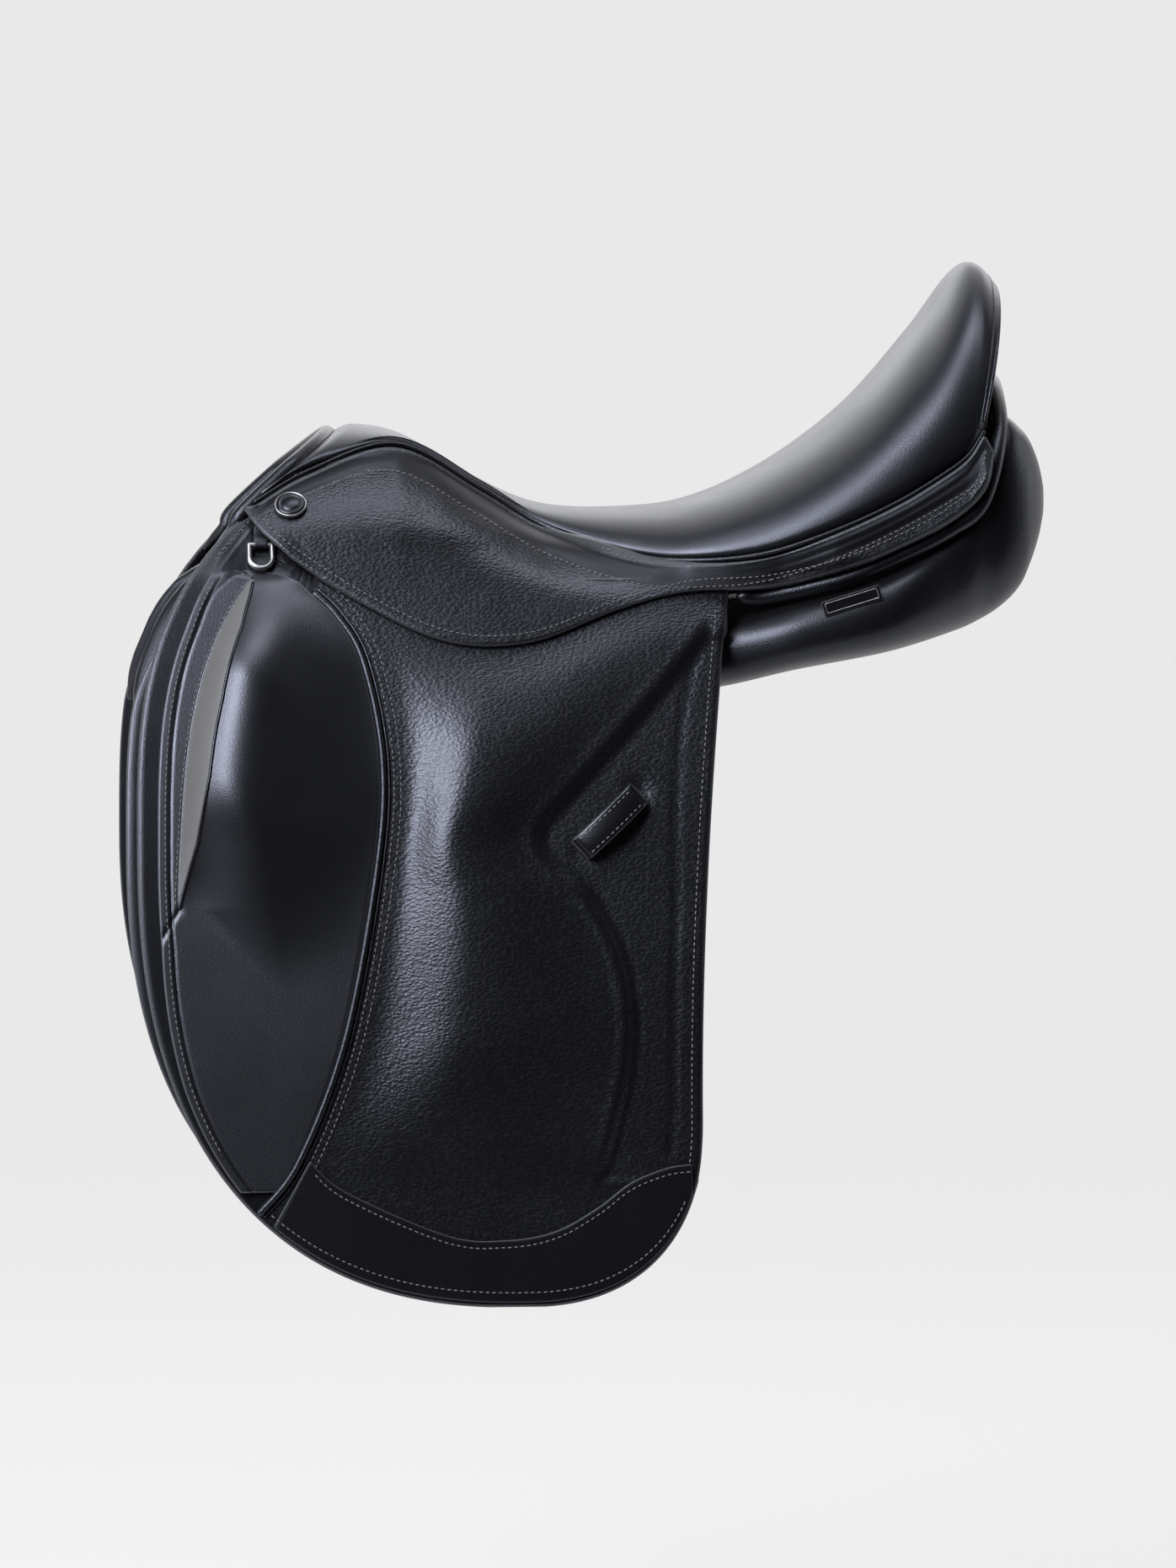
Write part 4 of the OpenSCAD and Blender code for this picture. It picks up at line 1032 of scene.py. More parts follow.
def split_at_fold(form: Form, height: float, names: tuple[str, str],
                  *materials: Material) -> tuple[Object, Object]:
    """Cuts a form at a height into two closed pieces whose shading runs on over the cut.

    Args:
        form: the whole form.
        height: the cut's height in millimetres.
        names: names of the upper and the lower piece.
        materials: their finishes.

    Returns:
        The upper and the lower object.
    """
    whole = form.piece("skirt whole", *materials)
    cut = bmesh.new()
    cut.from_mesh(whole.data)
    bmesh.ops.bisect_plane(cut, geom=cut.verts[:] + cut.edges[:] + cut.faces[:],
                           plane_co=(0, 0, height * MM), plane_no=(0, 0, 1), dist=1e-6)
    cut.normal_update()
    key = lambda v: tuple(round(c, 7) for c in v.co)
    made = []
    for name, keep_upper in zip(names, (True, False)):
        half = cut.copy()
        half.normal_update()
        drop = [f for f in half.faces if (f.calc_center_median().z > height * MM) != keep_upper]
        normals = {key(v): v.normal.copy() for v in half.verts}
        bmesh.ops.delete(half, geom=drop, context="FACES")
        bmesh.ops.holes_fill(half, edges=[e for e in half.edges if e.is_boundary], sides=0)
        mesh = bpy.data.meshes.new(name)
        half.to_mesh(mesh)
        half.free()
        smoothed(mesh, *materials)
        mesh.normals_split_custom_set_from_vertices([normals[key(v)] for v in mesh.vertices])
        made.append(placed(name, mesh))
    cut.free()
    bpy.data.objects.remove(whole)
    return tuple(made)


@dataclass
class Seat:
    """The padded seat, its welts, the cantle's facing and the pommel's roll."""

    shop: Workshop
    across: int = 97
    steps: int = 12
    head: float = 0.1
    wall: float = 0.25
    thin: float = 0.4
    tuck: float = 0.012
    roll_r: float = 5.0
    flange: tuple = (17.0, -3.0, 6.0)
    flange_t: float = 1.6
    rim_r: float = 1.2
    rim_u: float = 0.96
    seam_r: float = 1.3
    facing_t: float = 2.0
    facing_u: float = 0.92

    def rows(self) -> Array:
        """Rows of the seat from pommel to cantle."""
        return SHAPE.rows(self.steps)

    def build(self) -> None:
        """Builds and dresses the seat's pieces."""
        p, make, rows = self.shop.palette, self.shop.make, self.rows()
        seat = make(self.pad(), "seat_cover", ROOT, SMOOTH, "seat", p.seat)
        us = np.linspace(-self.rim_u, self.rim_u, 121)
        welt = SHAPE.seat_points(rows[-1:], us, 1.4)[0] - [0.4, 0, 0]
        seam = SHAPE.seat_points(rows[-6:-5], us, 0.35)[0]
        rims = tube(welt, self.rim_r).joined(tube(seam, 0.55 * self.rim_r, 8))
        make(rims, "cantle_rim_welt", ROOT, GRAINED, "cantle_welt", p.cord)
        facing = sheet(self.facing(0), self.facing(self.facing_t))
        make(facing, "cantle_back", ROOT, GRAINED, "cantle_facing", p.grained)
        make(self.pommel(), "pommel_front_roll", ROOT, GRAINED, "pommel_roll", p.cord)
        line = SHAPE.seam(rows) + [0, SHAPE.welt_r + 8 * SHAPE.gap, -0.6 * SHAPE.welt_r] - [0, 0.9, 0]
        for side in Side:
            make(tube(line, self.seam_r), "seat_seam_welt", ROOT, GRAINED, "seat_welt", p.cord, side=side)

    def pad(self) -> Form:
        """The seat: an arch that thins to its rims and tucks in at the seams."""
        rows, us = self.rows(), np.linspace(-1, 1, self.across)
        behind = ease(rows[:, 0] / self.head)
        top = SHAPE.seat_points(rows, us[None, :] * mix(0.96, 1.0, behind)[:, None])
        top[..., 1] *= 1 - self.tuck * ease((np.abs(us) - 0.95) / 0.05)
        normal = grid_normals(top)
        cantle = mix(1, self.thin, ease((rows[:, 0] - 0.7) / 0.24))
        depth = SHAPE.seat_t * mix(self.thin, 1, behind) * cantle
        under = top - normal * (depth[:, None] * np.maximum(normal[..., 2], self.wall))[..., None]
        return sheet(top, under, bulge=0.3)

    def facing(self, back: float) -> Array:
        """Grid of the leather behind the cantle."""
        rim = self.rows()[-1:]
        us = np.linspace(-self.facing_u, self.facing_u, 61)
        p = SHAPE.seat_points(rim, us, 5.0)[0]
        low = SHAPE.seam(rim)[0, 2]
        t = np.linspace(0, 1, 21)[:, None]
        x = p[:, 0] - SHAPE.gap - self.facing_t + back - 6 * t
        z = mix(p[:, 2], np.minimum(p[:, 2], mix(low, p[:, 2], 0.5)) - 9, t)
        return xyz(x, p[:, 1] * 0.97, z)

    def pommel(self) -> Form:
        """The roll that faces the pommel, with the flange it is sewn in by."""
        first = SHAPE.rows(2)[:1]
        half, radius = [], [1.6, 3.2, 4.4]
        for z, r in zip((74.0, 80.0, 87.0), radius):
            x = float(SHAPE.edge_front(z)) + 1.5
            half.append([x, float(SHAPE.head_y(x, z)) - SHAPE.flap_t - 0.5 - r, z])
        half.append(SHAPE.seam(first)[0] + [-7.5, -3, -8])
        for u in (0.72, 0.54, 0.38, 0.22, 0.1, 0.0):
            way = unit(np.array([-1, -1.6 * u * u, -0.5]))
            top = SHAPE.seat_points(first, np.array([u]))[0, 0]
            half.append(top + (self.roll_r + 0.7 + 0.7 * u * u) * way)
        radius += [self.roll_r] * (len(half) - len(radius))
        path = curve_through(both_sides(np.column_stack([np.array(half), radius])), 8)
        line, reach = path[:27, None, :3], np.linspace(0, 1, 12)[None, :, None]
        flange = line + reach * np.array(self.flange)
        leaf = sheet(flange, flange - [0, self.flange_t, 0], rim=2)
        return tube(path[:, :3], path[:, 3], 20).joined(leaf).joined(leaf.mirrored())


@dataclass
class Skirt:
    """One skirt: its head is sewn into the seat seam and its belly folds up with the flap."""

    shop: Workshop
    side: Side
    steps: int = 14
    down: int = 41
    band: float = 9.5
    margin: float = 2.2
    hem: float = 4.6
    ridge: float = 1.3
    least: float = 1.8
    ring_room: float = 1.8
    soft: float = 24.0
    lean: float = 4.0
    nail_x: float = -181.0
    nail_z: float = 100.0
    nail_r: float = 9.5

    def build(self) -> None:
        """Builds and dresses the skirt and its nail."""
        of, shop, p = self.side.of, self.shop, self.shop.palette
        outer = self.face()
        inner = outer.copy()
        plain = SHAPE.skirt_y(outer[..., 0], outer[..., 2]) - SHAPE.skirt_t
        inner[..., 1] = np.minimum(plain, outer[..., 1] - self.least)
        form = sheet(outer, inner)
        band = outer[1:, :1, 2] - outer[1:, 1:, 2] < self.band + self.margin
        form.finish[:band.size] = band.ravel()
        names = (of("skirt_head"), of("skirt_belly"))
        head, belly = split_at_fold(form.on(self.side), SHAPE.fold_h, names, p.grained, p.band)
        shop.set_on(head, ROOT, GRAINED, of("skirt_top"))
        shop.set_on(belly, of("skirt_body"), GRAINED, of("skirt"))
        self.sew()
        self.drive_nail()

    def drape(self, x: Array, z: Array) -> Array:
        """The outer face, which runs over the flap's fold in a soft curve."""
        fold = SHAPE.fold_h
        steps = np.linspace(-self.soft, self.soft, 13)
        share = np.cos(np.pi / 2 * steps / (self.soft + 2))
        soft = sum(w * SHAPE.skirt_y(x, z + d) for w, d in zip(share, steps)) / share.sum()
        # The CAD face is kept high on the skirt and round the nail. The rear leans out under the seam.
        plain = np.maximum(ease((z - fold - 14) / 18), 1 - ease((x + 188) / 16))
        below = np.clip((SHAPE.seam_at(x, 2) - z - 6) / 16, 0, 1)
        lean = self.lean * ease((x - 40) / 70) * below * ease((z - fold - 3) / 12)
        return mix(soft, SHAPE.skirt_y(x, z), plain) + lean

    def face(self) -> Array:
        """Grid of the outer face, from the seam down to the edge, with a ridge along the seam."""
        rows = SHAPE.rows(self.steps)
        top, edge = SHAPE.skirt_top(rows), SHAPE.skirt_edge(rows)
        edge[:, 2] += self.ring_room * (1 - ease((edge[:, 0] + 190) / 12))
        t = np.linspace(0, 1, self.down)[None, :]
        x, z = mix(top[:, :1], edge[:, :1], t), mix(top[:, 2:], edge[:, 2:], t)
        whole = top[:, 2:] - edge[:, 2:]
        deep = whole * t
        ridge = self.ridge * ease((whole - 12) / 8) * ease(deep / 3)
        return xyz(x, self.drape(x, z) + ridge * (1 - ease((deep - self.band + 3) / 4.5)), z)

    def line(self, below: float | None, above: float | None) -> Array:
        """A path on the outer face, a distance below the seam or above the edge."""
        rows = SHAPE.rows(self.steps)
        top, edge = SHAPE.skirt_top(rows), SHAPE.skirt_edge(rows)
        deep = top[:, 2] - edge[:, 2]
        t = below / deep if below is not None else 1 - above / deep
        keep = (t > 0.05) & (t < 0.97) & (rows[:, 0] > 0.012) & (rows[:, 0] < 0.995)
        x, z = mix(top[:, 0], edge[:, 0], t)[keep], mix(top[:, 2], edge[:, 2], t)[keep]
        return xyz(x, self.drape(x, z) + STITCH_OUT, z)

    def sew(self) -> None:
        """Sews the row under the seam and the row along the edge, on head and belly."""
        parts = {True: [], False: []}
        for row in (self.line(self.band + self.margin, None), self.line(None, self.hem)):
            row = even(row, 1.2)
            high = row[:, 2] > SHAPE.fold_h
            cuts = np.flatnonzero(np.diff(high.astype(int))) + 1
            for part in np.split(row, cuts):
                if len(part) > 4:
                    parts[bool(part[0, 2] > SHAPE.fold_h)].append(part)
        self.shop.sew("skirt_head_stitching", parts[True], self.side, ROOT)
        self.shop.sew("skirt_belly_stitching", parts[False], self.side, self.side.of("skirt_body"))

    def drive_nail(self) -> None:
        """Sets the domed nail: a steel ring round a black dome."""
        x, z, d, p = self.nail_x, self.nail_z, self.nail_r, self.shop.palette
        at = lambda dx, dz: float(self.drape(x + dx, z + dz))
        along = np.array([2 * d, at(d, 0) - at(-d, 0), 0])
        up = np.array([0, at(0, d) - at(0, -d), 2 * d])
        axis = unit(np.cross(up, along))
        centre = np.array([x, at(0, 0), z])
        ring = turned_profile([
            (0, -3), (2, -3), (2, 0.6), (d - 0.6, 0.6), (d, 1.0), (d + 0.1, 1.7), (d - 0.2, 2.5),
            (d - 0.6, 2.8), (d - 1.0, 2.7), (d - 1.2, 2.2), (0, 2.2)], centre, axis)
        dome = turned_profile([
            (0, 1.9), (d - 1.1, 1.9), (d - 1.15, 2.5), (d - 1.7, 3.0), (d - 2.6, 3.25), (d - 3.5, 3.2),
            (d - 3.8, 2.95), (d - 4.1, 3.2), (d - 5.5, 3.6), (d - 7.5, 3.95), (d - 9, 4.05), (0, 4.06)],
            centre, axis)
        self.shop.make(ring.joined(dome, 1), "skirt_nail", ROOT, "nail", "nail", p.blackened, p.enamel,
                       side=self.side)


@dataclass
class Flap:
    """One flap with its knee block, cover, piping, wear patch and keeper, and the under flap behind it."""

    shop: Workshop
    side: Side
    cols: int = 120
    down: int = 165
    bulge: float = 8.0
    pad_rise: float = 2.6
    recess: float = 0.9
    ear_rise: float = 3.3
    dome_top: float = 63.5
    swell: float = 0.5
    trail: float = 46.0
    cover_cols: tuple = (20, 12, 46)
    cover_lift: float = 1.6
    cover_t: float = 2.0
    patch_t: float = 1.5
    keeper_x: float = -2.0
    keeper_drop: float = 137.0
    keeper_len: float = 46.0
    keeper_w: float = 13.0
    keeper_t: float = 2.3
    keeper_stand: float = 7.0
    keeper_slope: float = 43.0
    under_top: float = 18.0
    under_short: float = 12.0
    crease_points: tuple = ((58, 27), (45, 12), (17, -20), (-14, -54), (-38, -80), (-41, -92), (-30, -106),
                            (-14, -119), (5, -157), (10, -195), (6, -230), (-1, -257), (-8, -281))
    groove_points: tuple = ((56, 30), (47, 4), (38, -44), (35, -139), (33, -233), (31, -267))
    seam_points: tuple = ((-247.0, -127.5), (-255.7, -141.8), (-264.0, -157.0))

    @property
    def body(self) -> str:
        """The body that the flap's pieces move with."""
        return self.side.of("flap_body")

    def build(self) -> None:
        """Builds and dresses the flap's pieces."""
        self.leather()
        self.cover()
        self.pad()
        self.trim()
        self.under()

    def relief(self, x: Array, z: Array) -> Array:
        """Height of the flap's modelled surface over its plain face."""
        crease = curve_through(self.crease_points, 6)
        loop = np.vstack([crease, [[40, -281], [90, -281], [90, 27]]])
        s = distance_to(crease, x, z) * np.where(inside(loop, x, z), 1, -1)
        # The pad rises in front of the crease, and the field behind it is sunk, deepest by the keeper's ends.
        pad = self.pad_rise * (1 - ease((-s - 20) / 130)) * (1 - ease((s + 6) / 9))
        pad = pad + 0.5 * bell((s + 6) / 2.6)
        hollow = -self.recess * ease((s + 2) / 6) - 0.6 * bell((s - 1.5) / 1.9)
        for end, depth in (((-19.5, -95.5), 0.8), ((15.5, -61.5), 1.6)):
            hollow = hollow - depth * np.exp(-(((x - end[0]) ** 2 + (z - end[1]) ** 2) / 40))
        line = -0.7 * bell(distance_to(curve_through(self.groove_points, 6), x, z) / 1.6)
        under = SHAPE.skirt_low(x) - 3 - z
        covered = ease(under / 26) * ease((z + 292) / 34)
        start = SHAPE.piping_x(z) + 14
        clear = ease((x - start + 4) / 22)
        # The thigh's bulge lies between the piping and the crease.
        order = np.argsort(crease[:, 1])
        t = (x - start) / np.maximum(np.interp(z, crease[order, 1], crease[order, 0]) - start, 20)
        thigh = self.bulge * ease(t / 0.34) * (1 - ease((t - 0.34) / 0.66))
        thigh = thigh * ease((under + 6) / 70) * ease((z + 285) / 90)
        # The front corner stands up to the level of the cover that meets it there.
        hem = x - SHAPE.edge_front(z)
        ear = self.ear_rise * ease((hem - 8) / 1.6) * ease((z - self.cover_top(x) + 5) / 5)
        return (pad * clear + hollow + line) * covered + thigh + ear * (1 - ease((x + 214) / 10))

    @staticmethod
    def hung(top: float, low: float, down: int, cols: int) -> tuple[Array, Array]:
        """Shares across a leaf and heights down it, closer together towards its round bottom."""
        u, v = np.linspace(0, 1, cols)[None, :], np.linspace(0, 1, down)[:, None]
        return u, mix(top, low + 0.3, np.sin(np.pi / 2 * v) ** 0.92) + 0 * u

    def leather(self) -> None:
        """The flap itself, which bends over the fold at its front corner."""
        of, s, p = self.side.of, SHAPE, self.shop.palette
        u, z = self.hung(s.fold_h - s.gap, s.flap_low, self.down, self.cols)
        x0 = mix(s.edge_front(s.fold_h), s.edge_rear(s.fold_h), u)
        # The front corner runs up past the fold, to just under the seat's seam.
        under = mix(4, 16, ease((x0 + 226) / 14))
        ear = (np.minimum(96, s.seam_at(x0, 2) - under) - s.fold_h) * (1 - ease((x0 + 186) / 20))
        z = z + ear * np.maximum(1 - (s.fold_h - z) / 60, 0) ** 2
        x = mix(s.edge_front(z), s.edge_rear(z), u)
        y = self.base(x, z)
        form = sheet(xyz(x, y + self.relief(x, z), z), xyz(x, y - s.flap_t, z))
        front = x[1:, 1:] < s.piping_x(z[1:, 1:]) + 2
        form.finish[:front.size] = front.ravel()
        piece = form.on(self.side).piece(of("flap_leather"), p.grained, p.smooth)
        self.bend(piece)
        self.shop.stand_for(piece, GRAINED, of("flap"), of("flap_head"))

    def block_lines(self, z: Array) -> tuple[Array, Array, Array, Array]:
        """Where the cover's front edge, the block's foot, its crest and the cover's back lie at heights."""
        s = SHAPE
        edge = s.edge_front(z) + np.interp(z, [-290, -230, -150, 30, 64], [3, 5, 10.5, 11.5, 9])
        foot = np.minimum(s.block_foot(z), s.piping_x(z) - 12)
        width = np.interp(z, [-127, -110, -89, -51, -9, 33, 50, 58, 64],
                          [0.6, 4.6, 9.2, 12.9, 13.4, 10.3, 5.5, 2, 1.2])
        return edge, foot, foot + width, s.piping_x(z) - s.piping_d + 1.2

    def cover_top(self, x: Array) -> Array:
        """Height of the cover's top edge, which slants up along a seam to the flap's front corner."""
        return self.dome_top + 0.32 * np.maximum(-203 - x, 0)

    def base(self, x: Array, z: Array) -> Array:
        """The flap's plain outer face, under and over the fold."""
        return np.where(z > SHAPE.fold_h, SHAPE.head_y(x, z), SHAPE.flank(z))

    def skin(self, x: Array, z: Array) -> Array:
        """Outer face of the block's cover."""
        s, top = SHAPE, self.dome_top - 1.5
        edge, foot, crest, back = self.block_lines(z)
        # The dome rises steeply to its crest and falls off slowly behind, further down there.
        length = s.block_len + self.trail * ease((x - crest) / 55)
        along = np.clip((top - z) / (top - s.block_top + length), 0, 1)
        ends = ease(along / 0.3) ** 0.7 * ease((1 - along) / 0.42)
        front = np.sin(np.pi / 2 * np.clip((x - foot) / np.maximum(crest - foot, 0.3), 0, 1))
        past = np.clip((x - crest) / np.maximum(back - crest, 1), 0, 1)
        over = np.maximum(x - crest, 0)
        rear = np.maximum(np.cos(np.pi / 2 * past), 0) ** 1.25
        swell = self.swell * over * bell(over / 33) * (1 - past)
        rise = ends * (s.block_h * np.where(x < crest, front, rear) + swell)
        # The hem has a raised border, and a short seam runs down from the gusset to it.
        hem = x - edge
        border = 0.7 * (1 - ease((hem - 4.9) / 1.0)) - 0.6 * bell((hem - 6.0) / 0.9)
        groove = -0.9 * bell(distance_to(np.array(self.seam_points), x, z) / 1.1)
        fade = ease((self.cover_top(x) - z) / mix(26, 7, ease((hem - 5) / 9)))
        lift = mix(0.2, self.cover_lift + self.cover_t, fade)
        return self.base(x, z) + lift + rise + (border + groove) * fade

    def cover(self) -> None:
        """The block's cover, whose front gusset is dull leather between two seams, painted a lighter grey as
        painted light.
        """
        of, s, p = self.side.of, SHAPE, self.shop.palette
        shares = np.concatenate([np.linspace(k, k + 1, n)[min(k, 1):] for k, n in enumerate(self.cover_cols)])
        high = self.dome_top + 6.6 * np.maximum(1 - shares, 0)[None, :]
        z = mix(high, float(s.piping_line()[-1, 1]) + 12, np.linspace(0, 1, 210)[:, None])
        lines = np.stack(self.block_lines(z))
        part, cols = np.clip(np.floor(shares).astype(int), 0, 2), np.arange(len(shares))
        x = mix(lines[part, :, cols].T, lines[part + 1, :, cols].T, (shares - part)[None, :])
        y = self.skin(x, z)
        thick = mix(0.15, self.cover_t, ease((self.cover_top(x) - z) / 7))
        form = sheet(xyz(x, y, z), xyz(x, y - thick, z))
        first, count = self.cover_cols[0], self.cover_cols[1] - 1
        # The gusset's faces take the lighter grey leather, which is painted light on the block's left face.
        gusset = (z[1:, 1:] < s.fold_h) & (z[1:, 1:] > s.block_top - s.block_len)
        gusset[:, :first - 1] = gusset[:, first - 1 + count:] = False
        form.finish[:gusset.size] = gusset.ravel()
        piece = form.on(self.side).piece(of("block_leather"), p.seat, p.matt)
        self.bend(piece)
        self.shop.stand_for(piece, SMOOTH, of("block_cover"))

    def pad(self) -> None:
        """The padding under the cover, and the fine piping along the block's crest."""
        s, p, shop = SHAPE, self.shop.palette, self.shop
        low = s.block_top - s.block_len
        z, u = np.linspace(s.block_top - 2, low + 2, 60)[:, None], np.linspace(0, 0.97, 40)[None, :]
        x = mix(s.block_foot(z), s.piping_x(z) - s.piping_d, u)
        foot = s.flank(z) + s.gap
        cap = self.skin(x, z + 0 * u) - self.cover_t - 0.6
        face = np.minimum(foot + 0.9 + s.block_rise(u + 0 * z, z + 0 * u), cap)
        form = sheet(xyz(x, face, z), xyz(x, foot, z), rim=2, bulge=0.2)
        pad = shop.make(form, "block_pad", self.body, "padding", "knee_block", p.webbing, side=self.side)
        crest = np.linspace(s.fold_h - 1.5, low + 1, 110)
        cord = tube(self.on_cover(self.block_lines(crest)[2], crest, 0.2), 1.0, 10).on(self.side)
        shop.set_on(cord.piece(self.side.of("block_seam_piping"), p.cord), self.body, GRAINED)

    def bend(self, piece: Object) -> None:
        """Bakes the piece's transform into its mesh."""
        self.body
        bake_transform(piece)

    def on_cover(self, x: Array, z: Array, out: float) -> Array:
        """Points on the cover, standing out by a distance."""
        return xyz(x, self.skin(x, z) + out, z)

    def on_flap(self, path: Array, out: float) -> Array:
        """Points on the flap's face over a path of (x, z) points."""
        x, z = path[:, 0], path[:, 1]
        return xyz(x, SHAPE.flank(z) + self.relief(x, z) + out, z)

    def trim(self) -> None:
        """Piping, wear patch, keeper and the stitched rows."""
        s, p, shop = SHAPE, self.shop.palette, self.shop
        line = even(s.piping_line(), 2.0)
        path = xyz(line[:, 0], s.flank(line[:, 1]) + s.piping_d / 2 + s.gap, line[:, 1])
        fold = self.on_flap(line + self.beside(line, 3.3), 0.3)
        welt = tube(path, s.piping_d / 2).joined(tube(fold, 1.1, 8))
        for form, name, node, finish in (
                (welt, "flap_welt", "flap_piping", p.cord),
                (self.patch(), "flap_wear_patch", "wear_patch", p.patch),
                (self.keeper(), "leather_keeper", "keeper", p.smooth)):
            shop.make(form, name, self.body, GRAINED, node, finish, side=self.side)
        z = np.linspace(91, 70, 30)
        x = s.edge_front(z) + 5
        ear = xyz(x, s.head_y(x, z) + self.relief(x, z) + STITCH_OUT, z)
        shop.sew("flap_stitching", self.stitch_rows(), self.side, self.body)
        shop.sew("flap_corner_stitching", [ear], self.side, ROOT)

    @staticmethod
    def beside(line: Array, out: float) -> Array:
        """Steps to the rear of a line of (x, z) points."""
        across = unit(np.gradient(line, axis=0)) @ np.array([[0, -1], [1, 0]])
        return across * np.sign(across[:, :1]) * out

    def patch_top(self) -> Array:
        """Top line of the wear patch as (x, z) points."""
        e, low, rear = SHAPE.ear, SHAPE.flap_low_x, SHAPE.flap_rear
        top = curve_through([[e + 64, 81], [e + 84, 64], [low - 43, 39], [low - 9, 36], [low + 19, 41],
                             [low + 43, 54], [low + 62, 68], [rear - 20, 76], [rear - 6, 78]], 12)
        top[:, 1] += SHAPE.flap_low
        return top

    def patch(self) -> Form:
        """The wear patch along the flap's rounded bottom."""
        top = self.patch_top()
        slant = 20 * (1 - np.linspace(0, 1, len(top))) ** 8
        low = np.minimum(SHAPE.edge_low(top[:, 0] - slant) + 2, top[:, 1] - 1.5)
        t = np.linspace(0, 1, 26)[None, :]
        x, z = top[:, :1] - slant[:, None] * t, mix(top[:, 1:], low[:, None], t)
        y = SHAPE.flank(z) + SHAPE.gap
        return sheet(xyz(x, y + self.patch_t, z), xyz(x, y, z))

    def keeper_at(self, t: Array, b: Array | float) -> Array:
        """Points of the keeper's under face, a share t along it and a distance b across."""
        slope = math.radians(self.keeper_slope)
        a = (t - 0.5) * self.keeper_len
        x = self.keeper_x + a * math.cos(slope) - b * math.sin(slope)
        z = SHAPE.fold_h - self.keeper_drop + a * math.sin(slope) + b * math.cos(slope)
        arch = np.sin(np.pi * t)
        stand = self.keeper_stand * np.maximum(arch, 0) ** 0.3 - 0.8 * (1 - arch)
        return xyz(x, SHAPE.flank(z) + SHAPE.gap + stand, z)

    def keeper(self) -> Form:
        """The strap that holds the stirrup leather."""
        t, w = np.linspace(0, 1, 41)[:, None], np.linspace(-0.5, 0.5, 13)
        inner = self.keeper_at(t, w[None, :] * self.keeper_w)
        crown = xyz(0, self.keeper_t + 0.5 * np.cos(np.pi * w), 0)
        return sheet(inner + crown, inner)

    def stitch_rows(self) -> list[Array]:
        """Rows of stitches on the flap and the block's cover."""
        s = SHAPE
        z = np.linspace(-288, 40, 260)
        rows = [self.on_flap(np.stack([s.edge_rear(z) - 5, z], axis=1), STITCH_OUT)]
        z = np.linspace(56, -262, 260)
        rows.append(self.on_cover(self.block_lines(z)[0] + 3.4, z, 0.2))
        top = self.patch_top()[4:-2] - [0, 3.5]
        x = np.linspace(-195, 38, 260)
        for x, z in ((top[:, 0], top[:, 1]), (x, s.edge_low(x) + 7)):
            rows.append(xyz(x, s.flank(z) + 2.0, z))
        line = even(s.piping_line(), 1.5)
        for out in (6.2, 10.0):
            rows.append(self.on_flap((line + self.beside(line, out))[6:-14], STITCH_OUT))
        z = np.linspace(s.fold_h - 4, s.block_top - s.block_len + 4, 120)
        rows.append(self.on_cover(self.block_lines(z)[1] - 1.6, z, 0.2))
        for across in (-5, 5):
            rows.append(self.keeper_at(np.linspace(0.1, 0.9, 40), across) + [0, 2.5, 0])
        return rows

    def under(self) -> None:
        """The under flap, cut away round the girth webs and the tree point."""
        s, top = SHAPE, self.under_top
        low = s.flap_low + self.under_short
        u, z = self.hung(top, low, 110, 80)
        front = lambda h: s.edge_front(h, mix(-3.0, s.under_reach, ease((42 - h) / 62)), low)
        rear = lambda h: s.edge_rear(h, -10, low)
        first = front(top)
        x = mix(first, rear(top), u)
        ear = 39 * (1 - ease((x + 146) / 14)) - 17 * (1 - ease((x - first) / 26))
        z = z + ear * np.maximum(1 - (top - z) / 90, 0) ** 2
        x, y = mix(front(z), rear(z), u), s.flank(z) - s.under_out
        form = sheet(xyz(x, y, z), xyz(x, y - s.under_t, z))
        self.shop.make(form, "under_flap_leather", ROOT, SMOOTH, "under_flap", self.shop.palette.smooth,
                       side=self.side)


